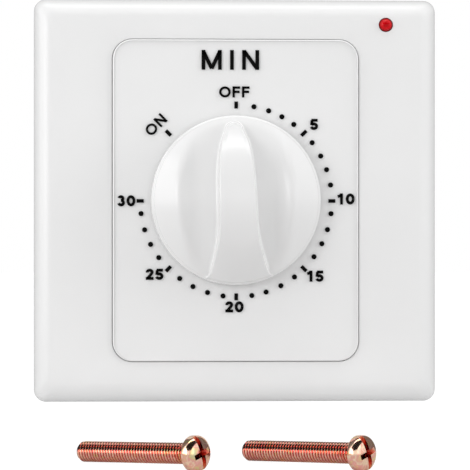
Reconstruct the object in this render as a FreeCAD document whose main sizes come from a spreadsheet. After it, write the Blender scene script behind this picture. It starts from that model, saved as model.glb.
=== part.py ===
"""Thirty minute clockwork countdown timer on an 86 mm square wall plate.

The frame of the whole part: +X right and +Z up as seen from the room, -Y towards the room.
The wall is the plane y = 0 and the origin is the middle of the plate on it.
Every piece is drawn flat, with its own z pointing out of the wall, and then stood upright.
"""
import FreeCAD, Part
import Sketcher
import math
import os
import re

V = FreeCAD.Vector
doc = FreeCAD.newDocument("countdown_timer")
sheet = doc.addObject("Spreadsheet::Sheet", "Sizes")

# Driving sizes in millimetres, angles in degrees, and counts
SIZES = {
    # Snap-on surround
    "plate_field": (8.85, "face of the surround above and below the panel"),
    "side_field": (16.9, "face of the surround left and right of the panel"),
    "plate_depth": (8.5, "front face of the surround above the wall"),
    "plate_corner": (2.6, "corner radius in plan"),
    "hollow_corner": (1.6, "corner radius of the space under the surround"),
    "edge_band": (4.3, "radius of the rounded front edge"),
    "surround_wall": (2.3, "side wall at the wall"),
    "surround_top": (2.3, "thickness of the face"),
    "collar_wall": (1.3, "wall round the window, inside"),
    "collar_drop": (1.2, "how far that wall hangs below the face"),
    "catch_length": (9.0, "length of a catch rib"),
    "catch_reach": (0.8, "how far a catch rib stands in from the wall"),
    "catch_height": (1.2, "height of a catch rib"),
    "catch_from_middle": (22.0, "catch ribs, distance from the middle line"),
    "pry_width": (8.0, "screwdriver notch in the bottom edge"),
    "pry_height": (1.4, "height of that notch"),
    # Dial panel
    "boss_gap": (0.55, "the panel's skirt past the screw bosses in the base"),
    "panel_corner": (4.2, "corner radius of the panel"),
    "panel_gap": (0.2, "joint line between panel and surround"),
    "panel_rise": (0.5, "panel face in front of the surround face"),
    "panel_top": (2.0, "thickness of the panel"),
    "panel_wall": (1.5, "skirt of the panel"),
    "panel_edge": (0.3, "bevelled front edge of the panel"),
    "panel_eye": (6.6, "radius of the hole for the knob's hub"),
    "peg_width": (2.6, "square pegs under the panel and the terminal block"),
    "peg_from_side": (6.1, "pegs in from the sides of the panel"),
    "peg_from_end": (7.15, "pegs in from the ends of the panel"),
    "rib_wall": (1.0, "stiffening ribs"),
    "rib_depth": (1.6, "how far the ribs hang down"),
    # Mounting base
    "base_gap": (0.35, "base to surround, all round"),
    "base_floor": (2.2, "floor of the base"),
    "base_rim": (1.2, "rim wall of the base"),
    "base_rim_height": (4.6, "top of the rim above the wall"),
    "base_corner": (2.0, "corner radius of the base"),
    "wall_screw_pitch": (60.3, "distance between the two wall screws"),
    "wall_screw_hole": (2.2, "radius of their holes"),
    "locating_rib": (1.2, "ribs that the housing slips over"),
    "locating_depth": (1.6, "height of those ribs"),
    "locating_length": (30.0, "length of those ribs"),
    "loose_fit": (0.2, "gap between moulded pieces that slip together"),
    # Indicator lamp
    "lamp_from_side": (11.0, "lamp in from the right edge of the surround"),
    "lamp_from_top": (5.6, "lamp below the top edge of the surround"),
    "lamp_radius": (1.5, "radius of the lamp body"),
    "lamp_show": (0.9, "how far the dome stands out of the face"),
    "lamp_hole_gap": (0.15, "gap round the lamp in the surround"),
    "lamp_board_width": (14.0, "lamp board, side to side"),
    "lamp_board_length": (4.3, "lamp board, top to bottom"),
    "lamp_board_thick": (1.0, "lamp board thickness"),
    "lamp_board_lift": (1.4, "board above the floor of the base"),
    "lamp_lead_pitch": (2.0, "distance between the lamp's two leads"),
    "lamp_lead": (0.5, "side of a square lead"),
    "lead_stub": (0.6, "lead behind the board"),
    "board_post": (1.5, "width of the posts under the board"),
    "resistor_radius": (0.7, "series resistor"),
    "resistor_length": (4.0, "series resistor"),
    "resistor_offset": (8.0, "resistor to the left of the lamp"),
    # Knob
    "knob_radius": (18.0, "radius of the knob's rim"),
    "knob_gap": (0.3, "rim above the panel"),
    "knob_skirt": (3.2, "height of the rim's side"),
    "knob_height": (12.4, "top of the grip above the rim's foot"),
    "knob_draft": (0.35, "how far the side leans in"),
    "crown_radius": (8.8, "where the cone above the rim comes up to the grip's height"),
    "knob_end_height": (3.8, "the grip's rounded top, straight above the rim"),
    "knob_wall": (1.5, "wall of the knob"),
    "valley_height": (6.0, "floor of the finger hollows at mid height"),
    "valley_end_height": (2.6, "floor of the finger hollows at the rim"),
    "valley_edge": (10.4, "end of the flat floor of a hollow, from the middle line"),
    "valley_rise": (0.72, "slope from there out to the rim, rise over run"),
    "grip_tip_half": (1.9, "half width of the grip at its tip"),
    "grip_tip_at": (15.0, "where that width is, above the middle"),
    "grip_tip_radius": (2.1, "round of the pointed tip"),
    "grip_shoulder_half": (3.45, "half width of the grip below the tip"),
    "grip_shoulder_at": (8.0, "where that width is, above the middle"),
    "grip_shoulder_radius": (16.0, "round from the tip to the shoulder"),
    "grip_waist_half": (3.75, "half width of the grip below the middle"),
    "grip_waist_at": (2.5, "where that width is, below the middle"),
    "grip_foot_half": (6.8, "half width where the grip meets the rim"),
    "grip_foot_at": (16.4, "where that width is, below the middle"),
    "grip_foot_radius": (34.0, "flare down to the foot"),
    "grip_lean": (2.1, "the grip points this much left of the D flat's line"),
    "hub_radius": (5.3, "hub of the knob"),
    "hub_drop": (3.4, "hub below the rim's foot"),
    "core_width": (3.4, "cores in the grip"),
    "core_length": (5.0, "cores in the grip"),
    "core_height": (7.2, "top of the cores"),
    # Main arbor
    "arbor_radius": (3.0, "D shaft"),
    "arbor_flat": (2.3, "flat of the D from the axis"),
    "arbor_fit": (0.05, "gap between shaft and knob"),
    "arbor_in_knob": (7.2, "shaft above the rim's foot"),
    "clip_thick": (0.35, "spring clip in the hub"),
    "clip_width": (3.6, "spring clip in the hub"),
    "clip_length": (7.0, "spring clip in the hub"),
    "running_fit": (0.05, "gap between a pivot and its hole"),
    "bush_radius": (5.0, "front bush"),
    "bush_flange": (6.4, "flange of the front bush"),
    "bush_flange_thick": (0.4, "flange of the front bush"),
    "bush_end": (0.4, "bush past its nut"),
    "bush_nut_flat": (7.0, "nut on the bush, middle to flat"),
    "bush_nut_height": (2.0, "nut on the bush"),
    "arbor_seat": (4.0, "arbor where it carries the wheel and spring"),
    "rear_pivot": (2.0, "arbor behind the back plate"),
    "circlip_radius": (3.2, "ring that holds the cam"),
    "circlip_thick": (0.6, "ring that holds the cam"),
    "circlip_mouth": (3.2, "opening of that ring"),
    "groove_depth": (0.4, "groove for that ring"),
    "arbor_tail": (1.0, "arbor behind the ring"),
    # Clockwork plates
    "frame_cut": (3.0, "cut corners of the plates"),
    "frame_plate": (1.2, "thickness of a plate"),
    "frame_space": (17.4, "distance between the plates"),
    "pillar_inset": (3.5, "pillars in from the edges of the plates"),
    "pillar_width": (5.0, "flat pillars"),
    "pillar_thick": (1.6, "flat pillars"),
    "tenon_width": (2.6, "tenons of the pillars in the plates"),
    "screw_radius": (1.1, "thread of the small screws"),
    "screw_head": (2.0, "head radius of small screws"),
    "screw_head_height": (1.2, "head height of small screws"),
    # Mainspring
    "spring_start": (1.6, "spring behind the front plate"),
    "spring_width": (5.0, "height of the spring's ribbon"),
    "spring_thick": (0.35, "thickness of the ribbon"),
    "spring_turns": (3.0, "turns of the ribbon"),
    "spring_outer": (13.2, "outer radius of the wound ribbon"),
    "hook_post": (0.9, "radius of the post that holds its outer end"),
    # Gear train
    "wheel_gap": (0.8, "clear space between layers of the train"),
    "wheel_thick": (1.1, "thickness of a wheel"),
    "pinion_length": (2.4, "length of a pinion"),
    "arbor_pin": (0.75, "radius of the train's plain arbors"),
    "mesh_play": (0.1, "extra distance between meshed arbors"),
    "wheel_arms": (5, "arms of a wheel"),
    "wheel_arm": (1.2, "width of an arm and of the rim"),
    "tooth_share": (0.4, "tooth thickness as a share of the pitch"),
    "tip_share": (0.4, "width of a tooth's tip as a share of its thickness"),
    "tooth_rise": (0.8, "tooth above the pitch circle, in modules"),
    "tooth_root": (1.15, "gap below the pitch circle, in modules"),
    "main_teeth": (36, "main wheel"),
    "main_module": (0.7, "main wheel and its pinion"),
    "second_leaves": (9, "second pinion"),
    "second_teeth": (32, "second wheel"),
    "second_module": (0.5, "second wheel and its pinion"),
    "third_leaves": (8, "third pinion"),
    "third_teeth": (28, "third wheel"),
    "third_module": (0.45, "third wheel and its pinion"),
    "escape_leaves": (7, "escape pinion"),
    "second_bearing": (-42.0, "direction from the main to the second arbor"),
    "third_bearing": (205.0, "direction from the second to the third arbor"),
    "escape_bearing": (178.0, "direction from the third to the escape arbor"),
    "verge_bearing": (165.0, "direction from the escape arbor to the verge"),
    # Escapement
    "escape_teeth": (15, "escape wheel"),
    "escape_radius": (5.5, "tips of its teeth"),
    "escape_root": (4.1, "roots of its teeth"),
    "escape_lean": (7.0, "lean of its teeth"),
    "escape_tip": (2.0, "angle of a tooth at its tip"),
    "verge_distance": (7.6, "verge arbor from the escape arbor"),
    "pallet_span": (96.0, "angle between the pallets at the escape wheel"),
    "pallet_width": (0.7, "side of a pallet"),
    "pallet_gap": (0.75, "pallets clear of the tips at mid swing"),
    "verge_arm": (2.2, "width of the verge at its arbor"),
    "verge_bar_length": (11.0, "balance bar"),
    "verge_bar_width": (2.4, "balance bar"),
    # Switch
    "cam_radius": (7.4, "switch cam"),
    "cam_drop": (1.3, "depth of its off notch"),
    "cam_notch": (16.0, "angle of its off notch"),
    "cam_thick": (2.0, "switch cam"),
    "cam_gap": (1.6, "cam behind the back plate"),
    "leaf_lift": (0.6, "moving leaf above the cam's rim"),
    "leaf_bump": (1.3, "half width of the bump that follows the cam"),
    "leaf_thick": (0.4, "contact leaves"),
    "leaf_width": (3.6, "contact leaves"),
    "leaf_gap": (0.9, "open contacts, face to face"),
    "leaf_reach": (5.0, "leaves past the middle, to the left"),
    "contact_radius": (1.1, "silver contacts"),
    "contact_thick": (0.5, "silver contacts"),
    "leaf_pin": (1.0, "radius of the pin through the leaves"),
    "contact_end": (0.5, "leaf past the contacts"),
    "contact_block_inset": (1.5, "contact block in from the edge of the plates"),
    "contact_block_length": (9.0, "contact block, side to side"),
    # Terminals
    "terminal_pitch": (12.0, "distance between terminals"),
    "terminal_gap": (0.7, "terminal block clear of the contact block"),
    "terminal_inset": (6.0, "wire holes below the top edge of the plates"),
    "terminal_width": (6.4, "brass terminal, side to side"),
    "terminal_tall": (7.6, "brass terminal, top to bottom"),
    "terminal_long": (9.0, "brass terminal, along the wire"),
    "terminal_bore": (1.7, "radius of the wire hole"),
    "terminal_bore_depth": (7.5, "depth of the wire hole"),
    "terminal_screw": (1.4, "radius of the clamping screw"),
    "terminal_screw_in": (3.0, "clamping screw from the wire end"),
    "terminal_screw_proud": (0.5, "clamping screw out of the terminal"),
    "screwdriver_slot": (0.5, "width and half depth of the slots in small screws"),
    "terminal_wall": (1.3, "walls of the terminal block"),
    "terminal_fit": (0.1, "terminal in its pocket"),
    "wire_funnel": (2.3, "radius of the wire holes in the housing"),
    # Rear housing
    "housing_room": (1.5, "rear housing clear of the clockwork's plates"),
    "housing_wall": (1.5, "its walls"),
    "housing_back": (1.8, "its back wall"),
    "housing_corner": (3.0, "its corner radius"),
    "housing_gap": (0.4, "terminals to the back wall"),
    "housing_edge": (1.2, "rounded rear edge"),
    "ear_width": (6.4, "side of the screw ears on the housing"),
    "ear_out": (3.3, "the housing's screws out from its walls"),
    "ear_thick": (3.0, "thickness of an ear"),
    "ear_hole": (1.3, "radius of the screw hole in an ear"),
    "ear_screw_bite": (1.8, "thread of that screw in the base"),
    "ear_boss_roof": (0.6, "roof over the blind thread"),
    "ear_boss": (5.6, "side of the boss that takes it"),
    "driver_slot": (5.4, "width of the opening over the clamping screws"),
    # Loose wall screws
    "bolt_major": (1.95, "radius of the thread's crests"),
    "bolt_length": (28.0, "under the head"),
    "bolt_head": (3.4, "radius of the head"),
    "bolt_head_height": (2.6, "height of the head"),
    "bolt_head_edge": (0.9, "height of the head's side"),
    "bolt_crown": (2.1, "radius of the head's flat top"),
    "bolt_slot": (0.9, "width of the slot and cross"),
    "bolt_slot_depth": (1.3, "depth of the slot"),
    "bolt_cross_depth": (1.7, "depth of the cross"),
    "bolt_cross_width": (3.8, "width of the cross"),
    "bolt_yaw": (41.0, "the heads point this much towards the room"),
    "bolt_front": (55.0, "middle of the screws in front of the wall"),
    "bolt_below": (5.7, "screw axes below the plate's edge"),
    "bolt_left_x": (-20.1, "middle of the left screw"),
    "bolt_right_x": (11.3, "middle of the right screw"),
    # Drawing
    "past": (0.2, "how far a cut or an added rib goes past the face it meets"),
}

# Sizes that follow from them, from the switch out to the plate that covers it all
FOLLOWING = {
    "contact_top": (
        "cam_radius + leaf_lift + 3 * leaf_thick + 2 * contact_thick + leaf_gap",
        "top of the contact block above the middle",
    ),
    "terminal_up": (
        "contact_top + terminal_gap + terminal_wall + terminal_fit + terminal_tall / 2",
        "wire holes above the middle",
    ),
    "frame_width": ("2 * (terminal_up + terminal_inset)", "side of the clockwork's plates"),
    "pillar_pitch": ("frame_width - 2 * pillar_inset", "distance between pillars"),
    "contact_block_x": (
        "frame_width / 2 - contact_block_inset - contact_block_length",
        "near side of the contact block",
    ),
    "housing_width": ("frame_width + 2 * (housing_room + housing_wall)", "side of the rear housing"),
    "ear_pitch": ("housing_width + 2 * ear_out", "distance between the housing's screws"),
    "panel_length": ("ear_pitch + ear_boss + 2 * (boss_gap + panel_wall)", "height of the raised panel"),
    "plate_width": ("panel_length + 2 * plate_field", "side of the square plate"),
    "panel_width": ("plate_width - 2 * side_field", "width of the raised panel"),
    "peg_spread_x": ("panel_width - 2 * peg_from_side", "pegs, side to side"),
    "peg_spread_up": ("panel_length - 2 * peg_from_end", "pegs, top to bottom"),
    "lamp_x": ("plate_width / 2 - lamp_from_side", "lamp to the right of the middle"),
    "lamp_up": ("plate_width / 2 - lamp_from_top", "lamp above the middle"),
    "bolt_down": ("plate_width / 2 + bolt_below", "screw axes below the plate's middle"),
}

rows = [(name, str(number), note) for name, (number, note) in SIZES.items()]
rows += [(name, "=" + text, note) for name, (text, note) in FOLLOWING.items()]
for row, (name, content, note) in enumerate(rows, start=1):
    sheet.set("A%d" % row, name)
    sheet.set("B%d" % row, content)
    sheet.setAlias("B%d" % row, name)
    sheet.set("C%d" % row, note)
doc.recompute()

ALIAS = re.compile(r"\b(" + "|".join(name for name, _, _ in rows) + r")\b")
TOUCHING = 1e-4


def formula(text):
    """Turn 'plate_width / 2' into an expression that reads the sheet."""
    return ALIAS.sub(r"Sizes.\1", str(text))


def number(text):
    """The value that a formula has now."""
    return float(sheet.evalExpression(formula(text)))


def bind(thing, prop, text):
    thing.setExpression(prop, formula(text))


# Heights above the wall that several pieces share. Behind the wall they are negative.
PANEL_FACE = "(plate_depth + panel_rise)"
PANEL_UNDER = "(plate_depth + panel_rise - panel_top)"
SURROUND_UNDER = "(plate_depth - surround_top)"
WINDOW_WIDTH = "(panel_width + 2 * panel_gap)"
WINDOW_LENGTH = "(panel_length + 2 * panel_gap)"
BASE_WIDTH = "(plate_width - 2 * surround_wall - 2 * base_gap)"
RIM_FOOT = "(plate_depth + panel_rise + knob_gap)"
FRONT_PLATE_BACK = "(-frame_plate)"
BACK_PLATE_FRONT = "(-frame_plate - frame_space)"
BACK_PLATE_BACK = "(-2 * frame_plate - frame_space)"
SPRING_TOP = "(-frame_plate - spring_start)"
MAIN_WHEEL_TOP = "(-frame_plate - spring_start - spring_width - wheel_gap)"
TRAIN_TOP = "(-frame_plate - spring_start - spring_width - 2 * wheel_gap - wheel_thick)"
SECOND_WHEEL_TOP = "(" + TRAIN_TOP + " - wheel_gap - wheel_thick)"
THIRD_WHEEL_TOP = "(" + SECOND_WHEEL_TOP + " - wheel_gap - wheel_thick)"
CAM_TOP = "(" + BACK_PLATE_BACK + " - cam_gap)"
TERMINAL_BACK = "(" + BACK_PLATE_BACK + " - terminal_wall - terminal_long)"
HOUSING_INSIDE = "(" + TERMINAL_BACK + " - housing_gap)"

# Where the arbors stand, from the main arbor at the origin
SECOND_STEP = "(main_module * (main_teeth + second_leaves) / 2 + mesh_play)"
THIRD_STEP = "(second_module * (second_teeth + third_leaves) / 2 + mesh_play)"
ESCAPE_STEP = "(third_module * (third_teeth + escape_leaves) / 2 + mesh_play)"
SECOND_X = "(" + SECOND_STEP + " * cos(second_bearing))"
SECOND_UP = "(" + SECOND_STEP + " * sin(second_bearing))"
THIRD_X = "(" + SECOND_X + " + " + THIRD_STEP + " * cos(third_bearing))"
THIRD_UP = "(" + SECOND_UP + " + " + THIRD_STEP + " * sin(third_bearing))"
ESCAPE_X = "(" + THIRD_X + " + " + ESCAPE_STEP + " * cos(escape_bearing))"
ESCAPE_UP = "(" + THIRD_UP + " + " + ESCAPE_STEP + " * sin(escape_bearing))"
VERGE_X = "(" + ESCAPE_X + " + verge_distance * cos(verge_bearing))"
VERGE_UP = "(" + ESCAPE_UP + " + verge_distance * sin(verge_bearing))"

pieces = []


def stand_up(piece, x="0", up="0", out="0", turn="0"):
    """Stand a flat-drawn piece upright with its z out of the wall, at x, up and out."""
    piece.Placement = FreeCAD.Placement(
        V(0, 0, 0),
        FreeCAD.Rotation(V(1, 0, 0), 90) * FreeCAD.Rotation(V(0, 0, 1), number(turn)),
    )
    bind(piece, "Placement.Base.x", x)
    bind(piece, "Placement.Base.y", "-(" + out + ")")
    bind(piece, "Placement.Base.z", up)


def new_body(name, **place):
    body = doc.addObject("PartDesign::Body", name)
    body.Label = name
    stand_up(body, **place)
    pieces.append(body)
    return body


def origin_feature(body, role):
    return next(f for f in body.Origin.OriginFeatures if f.Role == role)


def new_sketch(body, name, role="XY_Plane", offset="0"):
    sketch = body.newObject("Sketcher::SketchObject", name)
    sketch.AttachmentSupport = [(origin_feature(body, role), "")]
    sketch.MapMode = "FlatFace"
    bind(sketch, "AttachmentOffset.Base.z", offset)
    return sketch


def pin_point(sketch, geometry, position, x, y):
    """Hold one point of a sketch at x, y from the sketch's origin."""
    for kind, text in (("DistanceX", x), ("DistanceY", y)):
        index = sketch.addConstraint(
            Sketcher.Constraint(kind, -1, 1, geometry, position, number(text))
        )
        bind(sketch, "Constraints[%d]" % index, text)


def circle(sketch, x, y, radius):
    geometry = sketch.addGeometry(
        Part.Circle(V(number(x), number(y), 0), V(0, 0, 1), number(radius)), False
    )
    pin_point(sketch, geometry, 3, x, y)
    index = sketch.addConstraint(Sketcher.Constraint("Radius", geometry, number(radius)))
    bind(sketch, "Constraints[%d]" % index, radius)


def arc_between(start, end, radius, turn):
    """The short arc from start to end that turns left (+1) or right (-1)."""
    chord = end - start
    middle = (start + end) * 0.5
    left = V(-chord.y, chord.x, 0)
    left.normalize()
    reach = math.sqrt(max(radius**2 - (chord.Length / 2) ** 2, 0))
    centre = middle + left * (turn * reach)
    first, last = (start, end) if turn > 0 else (end, start)
    begin = math.atan2(first.y - centre.y, first.x - centre.x)
    finish = math.atan2(last.y - centre.y, last.x - centre.x)
    if finish < begin:
        finish += 2 * math.pi
    return Part.ArcOfCircle(Part.Circle(centre, V(0, 0, 1), radius), begin, finish)


def outline(sketch, points):
    """A closed outline. Each point is (x, y), or (x, y, turn, radius) where an arc starts."""
    places = [V(number(p[0]), number(p[1]), 0) for p in points]
    ends = []
    for index, point in enumerate(points):
        start = places[index]
        end = places[(index + 1) % len(points)]
        if len(point) == 2:
            geometry = sketch.addGeometry(Part.LineSegment(start, end), False)
            ends.append((geometry, 1, 2))
        else:
            turn, radius = point[2], point[3]
            geometry = sketch.addGeometry(arc_between(start, end, number(radius), turn), False)
            ends.append((geometry, 1, 2) if turn > 0 else (geometry, 2, 1))
            held = sketch.addConstraint(
                Sketcher.Constraint("Radius", geometry, number(radius))
            )
            bind(sketch, "Constraints[%d]" % held, radius)
    for index, point in enumerate(points):
        geometry, first, _ = ends[index]
        before, _, last = ends[index - 1]
        sketch.addConstraint(Sketcher.Constraint("Coincident", before, last, geometry, first))
        pin_point(sketch, geometry, first, point[0], point[1])


def rounded_rectangle(sketch, width, height, corner, x="0", y="0"):
    right = "(" + x + " + (" + width + ") / 2)"
    left = "(" + x + " - (" + width + ") / 2)"
    top = "(" + y + " + (" + height + ") / 2)"
    bottom = "(" + y + " - (" + height + ") / 2)"
    inset = " - (" + corner + ")"
    outset = " + (" + corner + ")"
    outline(
        sketch,
        [
            (left + outset, bottom),
            (right + inset, bottom, 1, corner),
            (right, bottom + outset),
            (right, top + inset, 1, corner),
            (right + inset, top),
            (left + outset, top, 1, corner),
            (left, top + inset),
            (left, bottom + outset, 1, corner),
        ],
    )


def rectangle(sketch, width, height, x="0", y="0"):
    right = "(" + x + " + (" + width + ") / 2)"
    left = "(" + x + " - (" + width + ") / 2)"
    top = "(" + y + " + (" + height + ") / 2)"
    bottom = "(" + y + " - (" + height + ") / 2)"
    outline(sketch, [(left, bottom), (right, bottom), (right, top), (left, top)])


def feature(body, kind, name, sketch, length, down=False, midplane=False):
    """A pad or pocket along the sketch's normal, or against it with down."""
    made = body.newObject("PartDesign::" + kind, name)
    made.Profile = sketch
    bind(made, "Length", length)
    made.Reversed = down
    made.Midplane = midplane
    sketch.Visibility = False
    doc.recompute()
    return made


def pad(body, name, sketch, length, **options):
    return feature(body, "Pad", name, sketch, length, **options)


def pocket(body, name, sketch, length, up=False):
    """A pocket goes from its sketch into the wall, or out of it with up. It has to cut."""
    before = body.Shape.Volume
    made = feature(body, "Pocket", name, sketch, length, down=up)
    if body.Shape.Volume >= before:
        raise RuntimeError(name + " cuts nothing")
    return made


def revolve(body, name, points, kind="Revolution"):
    """Turn an outline of (radius, height) round the body's own z axis."""
    sketch = new_sketch(body, name + "_profile", "XZ_Plane")
    outline(sketch, points)
    made = body.newObject("PartDesign::" + kind, name)
    made.Profile = sketch
    made.ReferenceAxis = (sketch, ["V_Axis"])
    made.Angle = 360
    doc.recompute()
    return made


def polar(body, name, originals, count):
    made = body.newObject("PartDesign::PolarPattern", name)
    made.Originals = originals
    made.Axis = (origin_feature(body, "Z_Axis"), [""])
    made.Angle = 360
    bind(made, "Occurrences", count)
    body.Tip = made
    doc.recompute()
    return made


def round_edges(body, name, radius, wanted):
    """Fillet the edges for which wanted(edge) is true."""
    base = body.Tip
    chosen = ["Edge%d" % (i + 1) for i, e in enumerate(base.Shape.Edges) if wanted(e)]
    made = body.newObject("PartDesign::Fillet", name)
    made.Base = (base, chosen)
    bind(made, "Radius", radius)
    body.Tip = made
    doc.recompute()
    return made


def bevel_edges(body, name, size, wanted):
    """Chamfer the edges for which wanted(edge) is true."""
    base = body.Tip
    chosen = ["Edge%d" % (i + 1) for i, e in enumerate(base.Shape.Edges) if wanted(e)]
    made = body.newObject("PartDesign::Chamfer", name)
    made.Base = (base, chosen)
    bind(made, "Size", size)
    body.Tip = made
    doc.recompute()
    return made


def lies_at(edge, height):
    """Does a flat edge lie at this height in its own body?"""
    box = edge.BoundBox
    return abs(box.ZMin - height) < TOUCHING and abs(box.ZMax - height) < TOUCHING


def four_corners(spread_x, spread_y):
    """The four corners of a rectangle about the middle."""
    half_x = "((" + spread_x + ") / 2)"
    half_y = "((" + spread_y + ") / 2)"
    return [(sx + half_x, sy + half_y) for sx in ("", "-") for sy in ("", "-")]


def rod(body, name, places, radius, bottom, length):
    """Round rods from a height, one at each place."""
    sketch = new_sketch(body, name + "_circles", offset=bottom)
    for x, y in places:
        circle(sketch, x, y, radius)
    return pad(body, name, sketch, length)


def drill(body, name, places, radius, top, depth):
    sketch = new_sketch(body, name + "_circles", offset=top)
    for x, y in places:
        circle(sketch, x, y, radius)
    return pocket(body, name, sketch, depth)


PEGS = four_corners("peg_spread_x", "peg_spread_up")
EARS = [("0", "(ear_pitch / 2)"), ("0", "-(ear_pitch / 2)")]
BOARD_X = "(lamp_x - resistor_offset / 2)"
BOARD_UP = "(" + BASE_WIDTH + " / 2 - base_rim - loose_fit - lamp_board_length / 2)"
BOARD_TOP = "(base_floor + lamp_board_lift + lamp_board_thick)"


def make_surround():
    """The outer frame that snaps over the base and hides the two wall screws."""
    body = new_body("surround_frame")
    blank = new_sketch(body, "face_outline")
    rectangle(blank, "plate_width", "plate_width")
    pad(body, "block", blank, "plate_depth")
    top = number("plate_depth")
    round_edges(body, "pillow_edge", "edge_band", lambda e: lies_at(e, top))
    half = number("plate_width") / 2
    round_edges(
        body, "corners", "plate_corner",
        lambda e: abs(abs(e.Vertexes[0].X) - half) < TOUCHING
        and abs(e.Vertexes[0].X - e.Vertexes[-1].X) < TOUCHING
        and abs(abs(e.Vertexes[0].Y) - half) < TOUCHING
        and abs(e.Vertexes[0].Y - e.Vertexes[-1].Y) < TOUCHING,
    )
    hollow = new_sketch(body, "hollow_outline")
    inside = "(plate_width - 2 * surround_wall)"
    rounded_rectangle(hollow, inside, inside, "hollow_corner")
    pocket(body, "hollow", hollow, SURROUND_UNDER, up=True)
    collar = new_sketch(body, "collar_outline", offset=SURROUND_UNDER)
    outer = " + 2 * collar_wall"
    rounded_rectangle(
        collar, WINDOW_WIDTH + outer, WINDOW_LENGTH + outer, "(panel_corner + panel_gap + collar_wall)"
    )
    pad(body, "collar", collar, "collar_drop", down=True)
    window = new_sketch(body, "window_outline", offset="plate_depth")
    rounded_rectangle(window, WINDOW_WIDTH, WINDOW_LENGTH, "(panel_corner + panel_gap)")
    pocket(body, "window", window, "surround_top + collar_drop + past")
    lamp_hole = "(lamp_radius + lamp_hole_gap)"
    drill(body, "lamp_hole", [("lamp_x", "lamp_up")], lamp_hole, "plate_depth", "(surround_top + past)")
    catches = new_sketch(body, "catch_outlines", offset="(base_floor / 2)")
    reach = "(plate_width / 2 - surround_wall - catch_reach / 2 + past / 2)"
    for side in ("", "-"):
        for height in ("catch_from_middle", "-catch_from_middle"):
            rectangle(catches, "(catch_reach + past)", "catch_length", side + reach, height)
    pad(body, "catches", catches, "catch_height")
    notch = new_sketch(body, "pry_outline")
    rectangle(notch, "pry_width", "surround_wall * 3", "0", "-(plate_width / 2)")
    pocket(body, "pry_notch", notch, "pry_height", up=True)


def make_panel():
    """The raised dial panel: a shallow tray on four pegs."""
    body = new_body("dial_panel")
    face = new_sketch(body, "face_outline", offset="base_floor")
    rounded_rectangle(face, "panel_width", "panel_length", "panel_corner")
    pad(body, "block", face, PANEL_FACE + " - base_floor")
    bevel_edges(body, "front_edge", "panel_edge", lambda e: lies_at(e, number(PANEL_FACE)))
    hollow = new_sketch(body, "hollow_outline", offset="base_floor")
    rounded_rectangle(
        hollow, "panel_width - 2 * panel_wall", "panel_length - 2 * panel_wall",
        "(panel_corner - panel_wall)",
    )
    pocket(body, "hollow", hollow, PANEL_UNDER + " - base_floor", up=True)
    ribs = new_sketch(body, "rib_outlines", offset=PANEL_UNDER)
    for side in ("", "-"):
        rectangle(ribs, "rib_wall", "panel_length - 2 * panel_wall + past", side + "(peg_spread_x / 4)")
    pad(body, "ribs", ribs, "rib_depth", down=True)
    pegs = new_sketch(body, "peg_plan", offset=PANEL_UNDER)
    for x, y in PEGS:
        rectangle(pegs, "peg_width", "peg_width", x, y)
    pad(body, "pegs", pegs, PANEL_UNDER + " - loose_fit", down=True)
    drill(body, "eye", [("0", "0")], "panel_eye", PANEL_FACE, "panel_top")


def make_base():
    """The moulded base that is screwed to the wall box and carries everything."""
    body = new_body("mounting_base")
    floor = new_sketch(body, "floor_outline")
    rounded_rectangle(floor, BASE_WIDTH, BASE_WIDTH, "base_corner")
    pad(body, "block", floor, "base_rim_height")
    hollow = new_sketch(body, "hollow_outline", offset="base_rim_height")
    inside = "(" + BASE_WIDTH + " - 2 * base_rim)"
    rounded_rectangle(hollow, inside, inside, "(base_corner - base_rim / 2)")
    pocket(body, "hollow", hollow, "base_rim_height - base_floor")
    notches = new_sketch(body, "catch_notches")
    for side in ("", "-"):
        reach = side + "(" + BASE_WIDTH + " / 2)"
        for height in ("catch_from_middle", "-catch_from_middle"):
            rectangle(notches, "2 * catch_reach", "catch_length + 2 * loose_fit", reach, height)
    pocket(body, "notches", notches, "base_rim_height", up=True)
    holes = [("(wall_screw_pitch / 2)", "0"), ("-(wall_screw_pitch / 2)", "0")]
    drill(body, "screw_holes", holes, "wall_screw_hole", "base_floor", "base_floor")
    pegs = new_sketch(body, "peg_plan", offset="base_floor")
    for x, y in PEGS:
        rectangle(pegs, "peg_width", "peg_width", x, y)
    pocket(body, "peg_holes", pegs, "base_floor")
    drill(body, "eye", [("0", "0")], "(bush_radius + loose_fit)", "base_floor", "base_floor")
    ribs = new_sketch(body, "locating_plan")
    reach = "(housing_width / 2 - housing_wall - loose_fit - locating_rib / 2)"
    for side in ("", "-"):
        rectangle(ribs, "locating_rib", "locating_length", side + reach, "0")
        rectangle(ribs, "locating_length", "locating_rib", "0", side + reach)
    pad(body, "locating_ribs", ribs, "locating_depth", down=True)
    posts = new_sketch(body, "lamp_posts", offset="base_floor")
    for side in ("+", "-"):
        edge = "(" + BOARD_X + " " + side + " (lamp_board_width - board_post) / 2)"
        rectangle(posts, "board_post", "lamp_board_length", edge, BOARD_UP)
    pad(body, "lamp_rests", posts, "lamp_board_lift")
    bosses = new_sketch(body, "boss_plan", offset="base_floor")
    for x, y in EARS:
        rectangle(bosses, "ear_boss", "ear_boss", x, y)
    pad(body, "screw_bosses", bosses, "ear_screw_bite")
    threads = new_sketch(body, "thread_holes_plan")
    for x, y in EARS:
        circle(threads, x, y, "screw_radius")
    pocket(body, "thread_holes", threads, "base_floor + ear_screw_bite - ear_boss_roof", up=True)


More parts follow.
